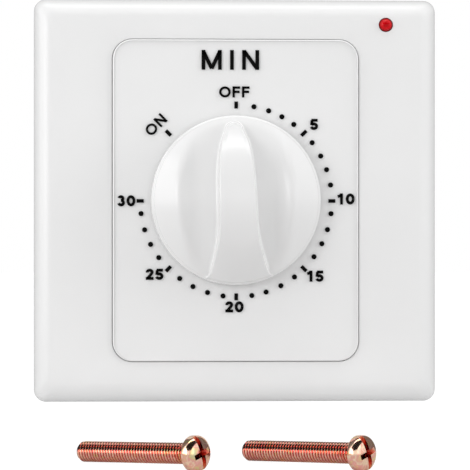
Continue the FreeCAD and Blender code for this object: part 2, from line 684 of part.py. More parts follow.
def make_lamp():
    """A 3 mm indicator lamp on a small board, with its leads and series resistor."""
    lamp = new_body("indicator_lamp", x="lamp_x", up="lamp_up")
    dome = "(plate_depth + lamp_show)"
    revolve(
        lamp,
        "lamp",
        [
            ("0", BOARD_TOP),
            ("lamp_radius", BOARD_TOP),
            ("lamp_radius", dome + " - lamp_radius", 1, "lamp_radius"),
            ("0", dome),
        ],
    )
    place = {"x": BOARD_X, "up": BOARD_UP, "out": "(base_floor + lamp_board_lift)"}
    board = new_body("lamp_board", **place)
    blank = new_sketch(board, "blank")
    rectangle(blank, "lamp_board_width", "lamp_board_length")
    pad(board, "board", blank, "lamp_board_thick")
    holes = new_sketch(board, "lead_holes_plan", offset="lamp_board_thick")
    wires = new_body("lamp_leads", **place)
    leads = new_sketch(wires, "leads_plan", offset="-lead_stub")
    for side in ("+", "-"):
        lead_x = "(lamp_x - " + BOARD_X + " " + side + " lamp_lead_pitch / 2)"
        for sketch in (holes, leads):
            rectangle(sketch, "lamp_lead", "lamp_lead", lead_x, "(lamp_up - " + BOARD_UP + ")")
    pocket(board, "lead_holes", holes, "lamp_board_thick")
    pad(wires, "leads", leads, "(lamp_board_thick + lead_stub)")
    resistor = new_body(
        "lamp_resistor", x="(lamp_x - resistor_offset)", up="lamp_up", out=BOARD_TOP + " + resistor_radius"
    )
    section = new_sketch(resistor, "section", "YZ_Plane")
    circle(section, "0", "0", "resistor_radius")
    pad(resistor, "body", section, "resistor_length", midplane=True)


def common(name, base, tool):
    made = doc.addObject("Part::Common", name)
    made.Base = base
    made.Tool = tool
    doc.recompute()
    return made


def less(name, base, tool):
    made = doc.addObject("Part::Cut", name)
    made.Base = base
    made.Tool = tool
    doc.recompute()
    return made


def barrel(name, top, radius):
    """A long cylinder along x whose upper side touches a height."""
    body = doc.addObject("PartDesign::Body", name)
    round_plan = new_sketch(body, name + "_circle", "YZ_Plane")
    circle(round_plan, "0", "(" + top + " - " + radius + ")", radius)
    pad(body, name + "_length", round_plan, "3 * knob_radius", midplane=True)
    return body


def make_knob():
    """A crowned knob with two finger hollows and a pointed grip, hollow behind."""
    shoulder = "(knob_radius - knob_draft)"
    rise = "(knob_height - knob_skirt)"
    slope = "(" + rise + " / (" + shoulder + " - crown_radius))"
    cone = doc.addObject("PartDesign::Body", "knob_cone")
    revolve(
        cone,
        "cone",
        [
            ("0", "0"),
            ("knob_radius", "0"),
            (shoulder, "knob_skirt"),
            ("0", "(knob_skirt + " + slope + " * " + shoulder + ")"),
        ],
    )
    # The grip's top is rounded lengthwise only, nearly down to the rim at both ends
    fall = "(knob_height - knob_end_height)"
    top_radius = "((" + shoulder + "^2 + " + fall + "^2) / (2 * " + fall + "))"
    crowned = common("knob_crowned", cone, barrel("knob_top", "knob_height", top_radius))
    # The floor of the hollows runs over the knob like a tyre's tread, lower at both ends
    drop = "(valley_height - valley_end_height)"
    sweep_radius = "((knob_radius^2 + " + drop + "^2) / (2 * " + drop + "))"
    hollows = doc.addObject("PartDesign::Body", "knob_hollows")
    tread = new_sketch(hollows, "tread_profile", "XZ_Plane")
    bind(tread, "AttachmentOffset.Base.y", "valley_height - " + sweep_radius)
    wide = "(valley_edge + knob_height / valley_rise)"
    high = sweep_radius + " + knob_height"
    outline(
        tread,
        [("-valley_edge", sweep_radius), ("valley_edge", sweep_radius), (wide, high), ("-" + wide, high)],
    )
    turned = hollows.newObject("PartDesign::Revolution", "tread")
    turned.Profile = tread
    turned.ReferenceAxis = (tread, ["H_Axis"])
    turned.Midplane = True
    turned.Angle = 120
    doc.recompute()
    grip = doc.addObject("PartDesign::Body", "knob_grip")
    plan = new_sketch(grip, "grip_plan")
    outline(
        plan,
        [
            ("-grip_tip_half", "grip_tip_at", -1, "grip_tip_radius"),
            ("grip_tip_half", "grip_tip_at", -1, "grip_shoulder_radius"),
            ("grip_shoulder_half", "grip_shoulder_at"),
            ("grip_waist_half", "-grip_waist_at", 1, "grip_foot_radius"),
            ("grip_foot_half", "-grip_foot_at"),
            ("grip_foot_half", "-knob_radius"),
            ("-grip_foot_half", "-knob_radius"),
            ("-grip_foot_half", "-grip_foot_at", 1, "grip_foot_radius"),
            ("-grip_waist_half", "-grip_waist_at"),
            ("-grip_shoulder_half", "grip_shoulder_at", -1, "grip_shoulder_radius"),
        ],
    )
    pad(grip, "grip", plan, "2 * knob_height")
    shaped = less("knob_outside", crowned, less("hollows_less_grip", hollows, grip))
    # Hollow behind: one wall inside the rim and the cone, and under the same tread
    inside = doc.addObject("PartDesign::Body", "knob_inside")
    shift = "(knob_wall * sqrt(1 + " + slope + "^2) / " + slope + ")"
    inner = "(" + shoulder + " - knob_wall)"
    revolve(
        inside,
        "inside",
        [
            ("hub_radius", "-past"),
            (inner, "-past"),
            (inner, "(knob_skirt - " + slope + " * (" + shift + " - knob_wall))"),
            ("(crown_radius - " + shift + ")", "knob_height"),
            ("hub_radius", "knob_height"),
        ],
    )
    roof = barrel("knob_roof", "(valley_height - knob_wall)", "(" + sweep_radius + " - knob_wall)")
    hollowed = less("knob_hollowed", shaped, common("knob_room", inside, roof))
    cores = doc.addObject("PartDesign::Body", "grip_cores")
    core_plan = new_sketch(cores, "core_plan", offset="-past")
    for side in ("", "-"):
        core_at = side + "(hub_radius + knob_wall + core_length / 2)"
        rectangle(core_plan, "core_width", "core_length", "0", core_at)
    pad(cores, "cores", core_plan, "core_height + past")
    hub = doc.addObject("PartDesign::Body", "knob_hub")
    rod(hub, "hub", [("0", "0")], "hub_radius", "-hub_drop", "hub_drop + valley_height - knob_wall")
    joined = doc.addObject("Part::Fuse", "knob_with_hub")
    joined.Base = less("knob_cored", hollowed, cores)
    joined.Tool = hub
    bore = doc.addObject("PartDesign::Body", "knob_bore")
    bore.Placement = FreeCAD.Placement(V(0, 0, 0), FreeCAD.Rotation(V(0, 0, 1), -number("grip_lean")))
    bored = new_sketch(bore, "bore_plan", offset="-(hub_drop + past)")
    d_outline(bored, "(arbor_radius + arbor_fit)", "(arbor_flat + arbor_fit)")
    pad(bore, "d_bore", bored, "hub_drop + past + arbor_in_knob + 4 * arbor_fit")
    slot = new_sketch(bore, "slot_plan", offset="-(hub_drop + past)")
    slot_wide = "(clip_width + 2 * arbor_fit)"
    slot_thick = "(clip_thick + 2 * arbor_fit)"
    rectangle(slot, slot_wide, slot_thick, "0", "(arbor_flat + arbor_fit + clip_thick / 2)")
    pad(bore, "clip_slot", slot, "hub_drop + past + clip_length")
    knob = less("knob", joined, bore)
    stand_up(knob, out=RIM_FOOT, turn="grip_lean")
    pieces.append(knob)


def d_outline(sketch, radius, flat):
    """A circle with one flat towards +y."""
    half = "sqrt((" + radius + ")^2 - (" + flat + ")^2)"
    outline(
        sketch,
        [
            ("-" + half, flat, 1, radius),
            ("0", "-" + radius, 1, radius),
            (half, flat),
        ],
    )


def make_main_arbor():
    """The arbor that the knob turns, its bush and nut, its rings, and the clip in the knob."""
    arbor = new_body("main_arbor")
    top = "(" + RIM_FOOT + " + arbor_in_knob)"
    shoulder = "(-frame_plate - wheel_gap)"
    seat_end = "(" + MAIN_WHEEL_TOP + " - wheel_thick)"
    groove = "(" + CAM_TOP + " - cam_thick)"
    groove_foot = "(" + groove + " - circlip_thick)"
    revolve(
        arbor,
        "arbor",
        [
            ("0", top),
            ("arbor_radius", top),
            ("arbor_radius", shoulder),
            ("arbor_seat", shoulder),
            ("arbor_seat", seat_end),
            ("rear_pivot", seat_end),
            ("rear_pivot", groove),
            ("rear_pivot - groove_depth", groove),
            ("rear_pivot - groove_depth", groove_foot),
            ("rear_pivot", groove_foot),
            ("rear_pivot", groove_foot + " - arbor_tail"),
            ("0", groove_foot + " - arbor_tail"),
        ],
    )
    flat = new_sketch(arbor, "flat_outline", offset=top)
    rectangle(flat, "3 * arbor_radius", "arbor_radius", "0", "(arbor_flat + arbor_radius / 2)")
    pocket(arbor, "flat", flat, "arbor_in_knob + hub_drop + 4 * arbor_fit")
    bush = new_body("front_bush")
    bush_top = "(base_floor + bush_nut_height + bush_end)"
    revolve(
        bush,
        "bush",
        [
            ("arbor_radius + running_fit", bush_top),
            ("bush_radius", bush_top),
            ("bush_radius", FRONT_PLATE_BACK),
            ("bush_flange", FRONT_PLATE_BACK),
            ("bush_flange", "-frame_plate - bush_flange_thick"),
            ("arbor_radius + running_fit", "-frame_plate - bush_flange_thick"),
        ],
    )
    nut = new_body("bush_nut", out="base_floor")
    plan = new_sketch(nut, "nut_plan")
    hexagon(plan, "bush_nut_flat")
    circle(plan, "0", "0", "bush_radius")
    pad(nut, "nut", plan, "bush_nut_height")
    clip = new_body("knob_clip", out="(" + RIM_FOOT + " - hub_drop + clip_thick)")
    strip = new_sketch(clip, "strip_outline")
    rectangle(strip, "clip_width", "clip_thick", "0", "(arbor_flat + arbor_fit + clip_thick / 2)")
    pad(clip, "strip", strip, "clip_length")
    ring = new_body("arbor_circlip", out=groove_foot)
    loop = new_sketch(ring, "ring_outline")
    circle(loop, "0", "0", "circlip_radius")
    circle(loop, "0", "0", "rear_pivot - groove_depth")
    pad(ring, "ring", loop, "circlip_thick")
    opening = new_sketch(ring, "opening_outline")
    rectangle(opening, "circlip_mouth", "2 * circlip_radius", "0", "-circlip_radius")
    pocket(ring, "opening", opening, "circlip_thick", up=True)


def cut_corner_square(sketch, width, cut):
    half = "((" + width + ") / 2)"
    near = "(" + half + " - " + cut + ")"
    outline(
        sketch,
        [
            ("-" + near, "-" + half),
            (near, "-" + half),
            (half, "-" + near),
            (half, near),
            (near, half),
            ("-" + near, half),
            ("-" + half, near),
            ("-" + half, "-" + near),
        ],
    )


def hexagon(sketch, flat):
    """A hexagon about the middle, by its distance from middle to flat."""
    corner = flat + " / cos(30)"
    corners = [("(%s * cos(%d))" % (corner, a), "(%s * sin(%d))" % (corner, a)) for a in range(0, 360, 60)]
    outline(sketch, corners)


PILLARS = four_corners("pillar_pitch", "pillar_pitch")
TRAIN = {
    "second": (SECOND_X, SECOND_UP),
    "third": (THIRD_X, THIRD_UP),
    "escape": (ESCAPE_X, ESCAPE_UP),
    "verge": (VERGE_X, VERGE_UP),
}
POST_X = "(spring_outer + spring_thick + hook_post + running_fit)"
BLOCK_PEG_UP = "(terminal_up - terminal_tall / 4)"
BLOCK_PEGS = [("(terminal_pitch / 2)", BLOCK_PEG_UP), ("-(terminal_pitch / 2)", BLOCK_PEG_UP)]


def make_frame():
    """The clockwork's two plates, the flat pillars staked between them, and the spring's post."""
    for name, front, main_hole in (
        ("front_plate", "0", "bush_radius"),
        ("back_plate", BACK_PLATE_FRONT, "(rear_pivot + running_fit)"),
    ):
        plate = new_body(name)
        blank = new_sketch(plate, "blank", offset=front)
        cut_corner_square(blank, "frame_width", "frame_cut")
        pad(plate, "plate", blank, "frame_plate", down=True)
        drill(plate, "main_hole", [("0", "0")], main_hole, front, "frame_plate")
        drill(plate, "pivot_holes", TRAIN.values(), "(arbor_pin + running_fit)", front, "frame_plate")
        slots = new_sketch(plate, "slot_plan", offset=front)
        for x, y in PILLARS:
            rectangle(slots, "tenon_width", "pillar_thick", x, y)
        if name == "back_plate":
            for x, y in BLOCK_PEGS:
                rectangle(slots, "peg_width", "peg_width", x, y)
        pocket(plate, "slots", slots, "frame_plate")
    pillars = new_body("frame_pillars")
    for name, width, bottom, length in (
        ("strips", "pillar_width", BACK_PLATE_FRONT, "frame_space"),
        ("tenons", "tenon_width", BACK_PLATE_BACK, "(frame_space + 2 * frame_plate)"),
    ):
        plan = new_sketch(pillars, name + "_plan", offset=bottom)
        for x, y in PILLARS:
            rectangle(plan, width, "pillar_thick", x, y)
        pad(pillars, name, plan, length)
    post = new_body("spring_post")
    length = "spring_start + spring_width"
    rod(post, "post", [(POST_X, "0")], "hook_post", SPRING_TOP + " - spring_width", length)


def make_mainspring():
    """A wound ribbon: half circles about two centres, each half turn one step wider."""
    start = number("arbor_seat + running_fit")
    halves = round(2 * number("spring_turns"))
    step = (number("spring_outer") - start) / halves
    thick = number("spring_thick")
    bottom = number(SPRING_TOP + " - spring_width")

    def half_turns(extra):
        arcs = []
        for k in range(halves):
            upper = k % 2 == 0
            centre = V(0 if upper else step, 0, bottom)
            radius = start + k * step + extra
            begin = 0 if upper else math.pi
            arcs.append(
                Part.ArcOfCircle(Part.Circle(centre, V(0, 0, 1), radius), begin, begin + math.pi).toShape()
            )
        return arcs

    inner, outer = half_turns(0), half_turns(thick)
    last = start + halves * step
    caps = [
        Part.makeLine(V(start, 0, bottom), V(start + thick, 0, bottom)),
        Part.makeLine(V(last, 0, bottom), V(last + thick, 0, bottom)),
    ]
    wire = Part.Wire(Part.__sortEdges__(inner + outer + caps))
    ribbon = Part.Face(wire).extrude(V(0, 0, number("spring_width")))
    spring = doc.addObject("Part::Feature", "mainspring")
    spring.Shape = ribbon
    stand_up(spring)
    pieces.append(spring)
    print("mainspring: gap between turns", round(2 * step - thick, 3), "mm")


def prism(body, name, sides, radius, top, thick):
    """A regular prism below a height, with a corner on the body's own x axis."""
    made = body.newObject("PartDesign::AdditivePrism", name)
    made.AttachmentSupport = [(origin_feature(body, "XY_Plane"), "")]
    made.MapMode = "FlatFace"
    bind(made, "AttachmentOffset.Base.z", top + " - " + thick)
    bind(made, "Polygon", sides)
    bind(made, "Circumradius", radius)
    bind(made, "Height", thick)
    doc.recompute()


def cut_teeth(body, teeth, module, top, thick):
    """A toothed disc with the middle of a gap on the body's own x axis."""
    pitch_radius = "(" + module + " * " + teeth + " / 2)"
    tip = "(" + pitch_radius + " + tooth_rise * " + module + ")"
    root = "(" + pitch_radius + " - tooth_root * " + module + ")"
    half_pitch = "((1 - tooth_share) * pi * " + module + " / 2)"
    half_tip = "((" + tip + " / " + pitch_radius + " - tip_share * tooth_share) * pi * " + module + " / 2)"
    beyond = "(2 * " + tip + " - " + pitch_radius + ")"
    half_beyond = "(2 * " + half_tip + " - " + half_pitch + ")"
    half_root = "(2 * " + half_pitch + " - " + half_tip + ")"
    prism(body, "toothed_disc", teeth, "(" + tip + " / cos(180 / " + teeth + "))", top, thick)
    gap = new_sketch(body, "gap_outline", offset=top)
    outline(
        gap,
        [(root, "-" + half_root), (beyond, "-" + half_beyond), (beyond, half_beyond), (root, half_root)],
    )
    cut = pocket(body, "tooth_gap", gap, thick)
    polar(body, "tooth_gaps", [cut], teeth)


def lighten(body, inner, outer, count, top, thick):
    """Windows between the rim and the hub of a wheel, with straight arms between them."""
    sketch = new_sketch(body, "window_plan", offset=top)
    across = outer + " * cos(180 / " + count + ")"
    wide = "(" + across + " * tan(180 / " + count + ") - wheel_arm / 2)"
    narrow = "(" + inner + " * tan(180 / " + count + ") - wheel_arm / 2)"
    outline(
        sketch,
        [(inner, "-" + narrow), (across, "-" + wide), (across, wide), (inner, narrow)],
    )
    cut = pocket(body, "window", sketch, thick)
    polar(body, "windows", [cut], count)


def make_wheel(name, place, teeth, module, top, hole, bearing):
    """A brass wheel with the middle of a tooth towards the pinion that it drives."""
    x, up = place
    wheel = new_body(name, x=x, up=up, turn="(" + bearing + " - 180 / " + teeth + ")")
    cut_teeth(wheel, teeth, module, top, "wheel_thick")
    drill(wheel, "hole", [("0", "0")], hole, top, "wheel_thick")
    root = "(" + module + " * (" + teeth + " / 2 - tooth_root))"
    lighten(
        wheel, "(" + hole + " + 1.2 * wheel_arm)", "(" + root + " - wheel_arm)",
        "wheel_arms", top, "wheel_thick",
    )


def make_pinion_arbor(name, place, leaves, module, driver_top, bearing):
    """A steel arbor with its pinion cut on it, a gap towards the wheel that drives it."""
    x, up = place
    arbor = new_body(name, x=x, up=up, turn="(" + bearing + " + 180)")
    top = "(" + driver_top + " - wheel_thick / 2 + pinion_length / 2)"
    cut_teeth(arbor, leaves, module, top, "pinion_length")
    add_arbor(arbor)


def add_arbor(body):
    """The plain arbor, which runs in a hole in each plate."""
    rod(body, "arbor", [("0", "0")], "arbor_pin", BACK_PLATE_BACK, "frame_space + 2 * frame_plate")


def make_train():
    """Three wheels, each of them driving the pinion on the next arbor in its own layer."""
    middle = ("0", "0")
    stages = (
        ("main", middle, "arbor_seat", "second", MAIN_WHEEL_TOP),
        ("second", TRAIN["second"], "arbor_pin", "third", SECOND_WHEEL_TOP),
        ("third", TRAIN["third"], "arbor_pin", "escape", THIRD_WHEEL_TOP),
    )
    for name, place, hole, following, top in stages:
        module = name + "_module"
        bearing = following + "_bearing"
        make_wheel(name + "_wheel", place, name + "_teeth", module, top, hole, bearing)
        arbor = following + "_arbor"
        make_pinion_arbor(arbor, TRAIN[following], following + "_leaves", module, top, bearing)


def make_escapement():
    """Escape wheel with pointed teeth, and the verge whose two pallets stop and free it."""
    x, up = TRAIN["escape"]
    wheel = new_body("escape_wheel", x=x, up=up, turn="(verge_bearing + 180 / escape_teeth)")
    prism(wheel, "disc", "escape_teeth", "escape_radius", TRAIN_TOP, "wheel_thick")
    far = "(escape_radius + past)"
    near_tooth = "(escape_tip / 2)"
    next_tooth = "(360 / escape_teeth - escape_tip / 2)"
    corners = (
        (far, near_tooth),
        ("escape_root", "(" + near_tooth + " + escape_lean)"),
        ("escape_root", "(" + next_tooth + " - escape_lean / 3)"),
        (far, next_tooth),
    )
    gap = new_sketch(wheel, "gap_outline", offset=TRAIN_TOP)
    outline(gap, [(r + " * cos(" + a + ")", r + " * sin(" + a + ")") for r, a in corners])
    cut = pocket(wheel, "tooth_gap", gap, "wheel_thick")
    polar(wheel, "tooth_gaps", [cut], "escape_teeth")
    drill(wheel, "hole", [("0", "0")], "arbor_pin", TRAIN_TOP, "wheel_thick")

    x, up = TRAIN["verge"]
    place = {"x": x, "up": up, "turn": "(verge_bearing + 180)"}
    ring = "(escape_radius + pallet_gap + pallet_width / sqrt(2))"
    pallet_x = "(verge_distance - " + ring + " * cos(pallet_span / 2))"
    pallet_y = "(" + ring + " * sin(pallet_span / 2))"
    verge_top = "(" + TRAIN_TOP + " - wheel_thick - wheel_gap / 2)"
    verge = new_body("verge", **place)
    plan = new_sketch(verge, "verge_plan", offset=verge_top)
    outline(
        plan,
        [
            ("-verge_arm", "0"),
            (pallet_x + " - pallet_width / 2", "-(" + pallet_y + " + pallet_width / 2)"),
            (pallet_x + " + pallet_width / 2", "-(" + pallet_y + " + pallet_width / 2)"),
            (pallet_x + " + pallet_width / 2", "-(" + pallet_y + " - pallet_width / 2)"),
            ("verge_arm", "0"),
            (pallet_x + " + pallet_width / 2", "(" + pallet_y + " - pallet_width / 2)"),
            (pallet_x + " + pallet_width / 2", "(" + pallet_y + " + pallet_width / 2)"),
            (pallet_x + " - pallet_width / 2", "(" + pallet_y + " + pallet_width / 2)"),
        ],
    )
    pad(verge, "anchor", plan, "wheel_thick", down=True)
    pallets = new_sketch(verge, "pallet_plan", offset=verge_top)
    for side in ("", "-"):
        rectangle(pallets, "pallet_width", "pallet_width", pallet_x, side + pallet_y)
    pad(verge, "pallets", pallets, "(wheel_thick + wheel_gap / 2)")
    drill(verge, "hole", [("0", "0")], "arbor_pin", verge_top, "wheel_thick")
    bar_top = "(" + verge_top + " - wheel_thick - wheel_gap / 2)"
    bar = new_body("balance_bar", **place)
    blank = new_sketch(bar, "bar_plan", offset=bar_top)
    rectangle(blank, "verge_bar_width", "verge_bar_length")
    pad(bar, "bar", blank, "wheel_thick", down=True)
    drill(bar, "hole", [("0", "0")], "arbor_pin", bar_top, "wheel_thick")
    arbor = new_body("verge_arbor", **place)
    add_arbor(arbor)


CAM_MIDDLE = "(" + CAM_TOP + " - cam_thick / 2)"
LEAF_FOOT = "(cam_radius + leaf_lift)"
LEAF_TOP = "(" + LEAF_FOOT + " + leaf_thick)"
FIXED_FOOT = "(contact_top - 2 * leaf_thick)"
BLOCK_MIDDLE = "(contact_block_x + contact_block_length / 2)"
BLOCK_FOOT = "(" + LEAF_FOOT + " - 3 * leaf_thick)"
LEAF_FRONT = "(" + CAM_MIDDLE + " + leaf_width / 2)"


def drill_across(body, name, places, radius, from_y, depth):
    """Holes along the body's own -y, from a height in y. Places are (x, z)."""
    sketch = new_sketch(body, name + "_circles", "XZ_Plane", "-(" + from_y + ")")
    for x, z in places:
        circle(sketch, x, z, radius)
    return pocket(body, name, sketch, depth, up=True)


def rod_across(body, name, places, radius, from_y, length):
    sketch = new_sketch(body, name + "_circles", "XZ_Plane", "-(" + from_y + ")")
    for x, z in places:
        circle(sketch, x, z, radius)
    return pad(body, name, sketch, length)


def make_switch():
    """The cam on the arbor's tail, and the two leaves that it brings together."""
    cam = new_body("switch_cam")
    disc = new_sketch(cam, "cam_plan", offset=CAM_TOP)
    circle(disc, "0", "0", "cam_radius")
    pad(cam, "disc", disc, "cam_thick", down=True)
    floor = "(cam_radius - cam_drop)"
    half = "(cam_radius * sin(cam_notch / 2))"
    notch = new_sketch(cam, "notch_plan", offset=CAM_TOP)
    outline(
        notch,
        [
            ("-" + half, floor),
            (half, floor),
            (half + " + cam_drop", "(cam_radius + past)"),
            ("-(" + half + " + cam_drop)", "(cam_radius + past)"),
        ],
    )
    pocket(cam, "off_notch", notch, "cam_thick")
    drill(cam, "hole", [("0", "0")], "rear_pivot", CAM_TOP, "cam_thick")

    far_left = "-leaf_reach"
    block_right = "(contact_block_x + contact_block_length)"
    pin_at = [(BLOCK_MIDDLE, CAM_MIDDLE)]
    moving = new_body("moving_leaf")
    plan = new_sketch(moving, "leaf_plan", offset=LEAF_FRONT)
    outline(
        plan,
        [
            (far_left, LEAF_FOOT),
            ("-leaf_bump", LEAF_FOOT),
            ("-leaf_bump / 3", "(" + floor + " + running_fit)"),
            ("leaf_bump / 3", "(" + floor + " + running_fit)"),
            ("leaf_bump", LEAF_FOOT),
            (block_right, LEAF_FOOT),
            (block_right, LEAF_TOP),
            (far_left, LEAF_TOP),
        ],
    )
    pad(moving, "leaf", plan, "leaf_width", down=True)
    drill_across(moving, "pin_hole", pin_at, "leaf_pin", LEAF_TOP, "leaf_thick")
    fixed = new_body("fixed_leaf")
    plan = new_sketch(fixed, "leaf_plan", offset=LEAF_FRONT)
    tail_x = "(" + block_right + " + 2 * leaf_thick)"
    terminal_side = "(terminal_pitch + terminal_width / 2)"
    outline(
        plan,
        [
            (far_left, FIXED_FOOT),
            (tail_x + " + leaf_thick", FIXED_FOOT),
            (tail_x + " + leaf_thick", "(terminal_up + leaf_thick)"),
            (terminal_side, "(terminal_up + leaf_thick)"),
            (terminal_side, "terminal_up"),
            (tail_x, "terminal_up"),
            (tail_x, "(" + FIXED_FOOT + " + leaf_thick)"),
            (far_left, "(" + FIXED_FOOT + " + leaf_thick)"),
        ],
    )
    pad(fixed, "leaf", plan, "leaf_width", down=True)
    drill_across(fixed, "pin_hole", pin_at, "leaf_pin", "(" + FIXED_FOOT + " + leaf_thick)", "leaf_thick")
    contact_at = [("(contact_radius + contact_end - leaf_reach)", CAM_MIDDLE)]
    upper = new_body("fixed_contact")
    rod_across(upper, "button", contact_at, "contact_radius", FIXED_FOOT, "contact_thick")
    lower = new_body("moving_contact")
    crest = "(" + LEAF_TOP + " + contact_thick)"
    rod_across(lower, "button", contact_at, "contact_radius", crest, "contact_thick")
    block = new_body("contact_block")
    tall = "(contact_top - " + BLOCK_FOOT + ")"
    plan = new_sketch(block, "block_plan", offset=BACK_PLATE_BACK)
    rectangle(plan, "contact_block_length", tall, BLOCK_MIDDLE, "(" + BLOCK_FOOT + " + " + tall + " / 2)")
    deep = "(" + BACK_PLATE_BACK + " - " + LEAF_FRONT + " + leaf_width + leaf_thick)"
    pad(block, "block", plan, deep, down=True)
    slots = new_sketch(block, "leaf_slots", offset=LEAF_FRONT)
    for foot in (LEAF_FOOT, FIXED_FOOT):
        rectangle(
            slots, "contact_block_length", "leaf_thick", BLOCK_MIDDLE, "(" + foot + " + leaf_thick / 2)"
        )
    pocket(block, "slots", slots, "(leaf_width + leaf_thick)")
    drill_across(block, "pin_hole", pin_at, "leaf_pin", "contact_top", tall)
    pin = new_body("leaf_pin")
    rod_across(pin, "pin", pin_at, "leaf_pin", "contact_top", tall)


TERMINALS_X = ("-terminal_pitch", "0", "terminal_pitch")
TERMINAL_FRONT = "(" + BACK_PLATE_BACK + " - terminal_wall)"
SCREW_DEPTH = "(" + TERMINAL_BACK + " + terminal_screw_in)"
TERMINAL_HEAD = "(terminal_up + terminal_tall / 2)"


def make_terminals():
    """Three brass terminals with clamping screws, in a moulded block."""
    block = new_body("terminal_block")
    width = "(2 * terminal_pitch + terminal_width + 2 * terminal_fit + 2 * terminal_wall)"
    foot = "(terminal_up - terminal_tall / 2 - terminal_fit - terminal_wall)"
    plan = new_sketch(block, "block_plan", offset=BACK_PLATE_BACK)
    rectangle(plan, width, TERMINAL_HEAD + " - " + foot, "0", "((" + TERMINAL_HEAD + " + " + foot + ") / 2)")
    pad(block, "block", plan, BACK_PLATE_BACK + " - " + TERMINAL_BACK, down=True)
    pockets = new_sketch(block, "pocket_plan", offset=TERMINAL_BACK)
    for x in TERMINALS_X:
        rectangle(
            pockets, "(terminal_width + 2 * terminal_fit)", "(terminal_tall + terminal_fit + past)",
            "(" + x + ")", "(terminal_up + past / 2 - terminal_fit / 2)",
        )
    pocket(block, "pockets", pockets, "terminal_long", up=True)
    leaf_slot = new_sketch(block, "leaf_slot_plan", offset="(" + LEAF_FRONT + " + terminal_fit)")
    rectangle(
        leaf_slot, "(2 * terminal_wall + 2 * past)", "(leaf_thick + 2 * terminal_fit)",
        "(terminal_pitch + terminal_width / 2 + terminal_wall)", "(terminal_up + leaf_thick / 2)",
    )
    pocket(block, "leaf_slot", leaf_slot, "(leaf_width + 2 * terminal_fit)")
    pegs = new_sketch(block, "peg_plan", offset=BACK_PLATE_BACK)
    for x, y in BLOCK_PEGS:
        rectangle(pegs, "peg_width", "peg_width", x, y)
    pad(block, "pegs", pegs, "frame_plate + 2 * past")

    brass = new_body("brass_terminals")
    blanks = new_sketch(brass, "blanks", offset=TERMINAL_FRONT)
    for x in TERMINALS_X:
        rectangle(blanks, "terminal_width", "terminal_tall", "(" + x + ")", "terminal_up")
    pad(brass, "blocks", blanks, "terminal_long", down=True)
    bores = new_sketch(brass, "wire_bores", offset=TERMINAL_BACK)
    for x in TERMINALS_X:
        circle(bores, x, "terminal_up", "terminal_bore")
    pocket(brass, "wire_holes", bores, "terminal_bore_depth", up=True)
    screws_at = [(x, SCREW_DEPTH) for x in TERMINALS_X]
    drill_across(brass, "screw_holes", screws_at, "terminal_screw", TERMINAL_HEAD, "(terminal_tall / 2)")
    screws = new_body("terminal_screws")
    crest = "(" + TERMINAL_HEAD + " + terminal_screw_proud)"
    reach = "(terminal_screw_proud + terminal_tall / 2 - terminal_bore)"
    rod_across(screws, "screws", screws_at, "terminal_screw", crest, reach)
    slots = new_sketch(screws, "slot_plan", "XZ_Plane", "-" + crest)
    for x, depth in screws_at:
        rectangle(slots, "2 * terminal_screw", "screwdriver_slot", "(" + x + ")", depth)
    pocket(screws, "slots", slots, "2 * screwdriver_slot", up=True)


def make_housing():
    """The rear housing in the wall box, with wire holes behind and screw holes on top."""
    body = new_body("rear_housing")
    outer = new_sketch(body, "outer_outline")
    rounded_rectangle(outer, "housing_width", "housing_width", "housing_corner")
    back = "(" + HOUSING_INSIDE + " - housing_back)"
    pad(body, "block", outer, "-" + back, down=True)
    bevel_edges(body, "rear_edge", "housing_edge", lambda e: lies_at(e, number(back)))
    ears = new_sketch(body, "ear_plan")
    for side in ("", "-"):
        reach = "(ear_pitch / 2 + ear_width / 2 - housing_width / 2 + housing_wall)"
        middle = "(ear_pitch / 2 + ear_width / 2 - " + reach + " / 2)"
        rectangle(ears, "ear_width", reach, "0", side + middle)
    pad(body, "ears", ears, "ear_thick", down=True)
    inner = new_sketch(body, "inner_outline")
    width = "(housing_width - 2 * housing_wall)"
    rounded_rectangle(inner, width, width, "(housing_corner - housing_wall)")
    pocket(body, "hollow", inner, "-" + HOUSING_INSIDE)
    drill(body, "ear_holes", EARS, "ear_hole", "0", "ear_thick")
    wires = [(x, "terminal_up") for x in TERMINALS_X]
    drill(body, "wire_holes", wires, "wire_funnel", HOUSING_INSIDE, "housing_back")
    driver = new_sketch(body, "driver_plan", "XZ_Plane", "-(housing_width / 2)")
    rectangle(driver, "(2 * terminal_pitch + driver_slot)", "driver_slot", "0", SCREW_DEPTH)
    pocket(body, "driver_opening", driver, "housing_wall", up=True)
    screws = new_body("housing_screws")
    for name, radius, length, down in (
        ("heads", "screw_head", "screw_head_height", True),
        ("shanks", "screw_radius", "(ear_thick + base_floor + ear_screw_bite - 2 * ear_boss_roof)", False),
    ):
        plan = new_sketch(screws, name + "_plan", offset="-ear_thick")
        for x, y in EARS:
            circle(plan, x, y, radius)
        pad(screws, name, plan, length, down=down)
    slots = new_sketch(screws, "slot_plan", offset="(-ear_thick - screw_head_height)")
    for x, y in EARS:
        rectangle(slots, "2 * screw_head", "screwdriver_slot", x, y)
    pocket(screws, "slots", slots, "screwdriver_slot", up=True)


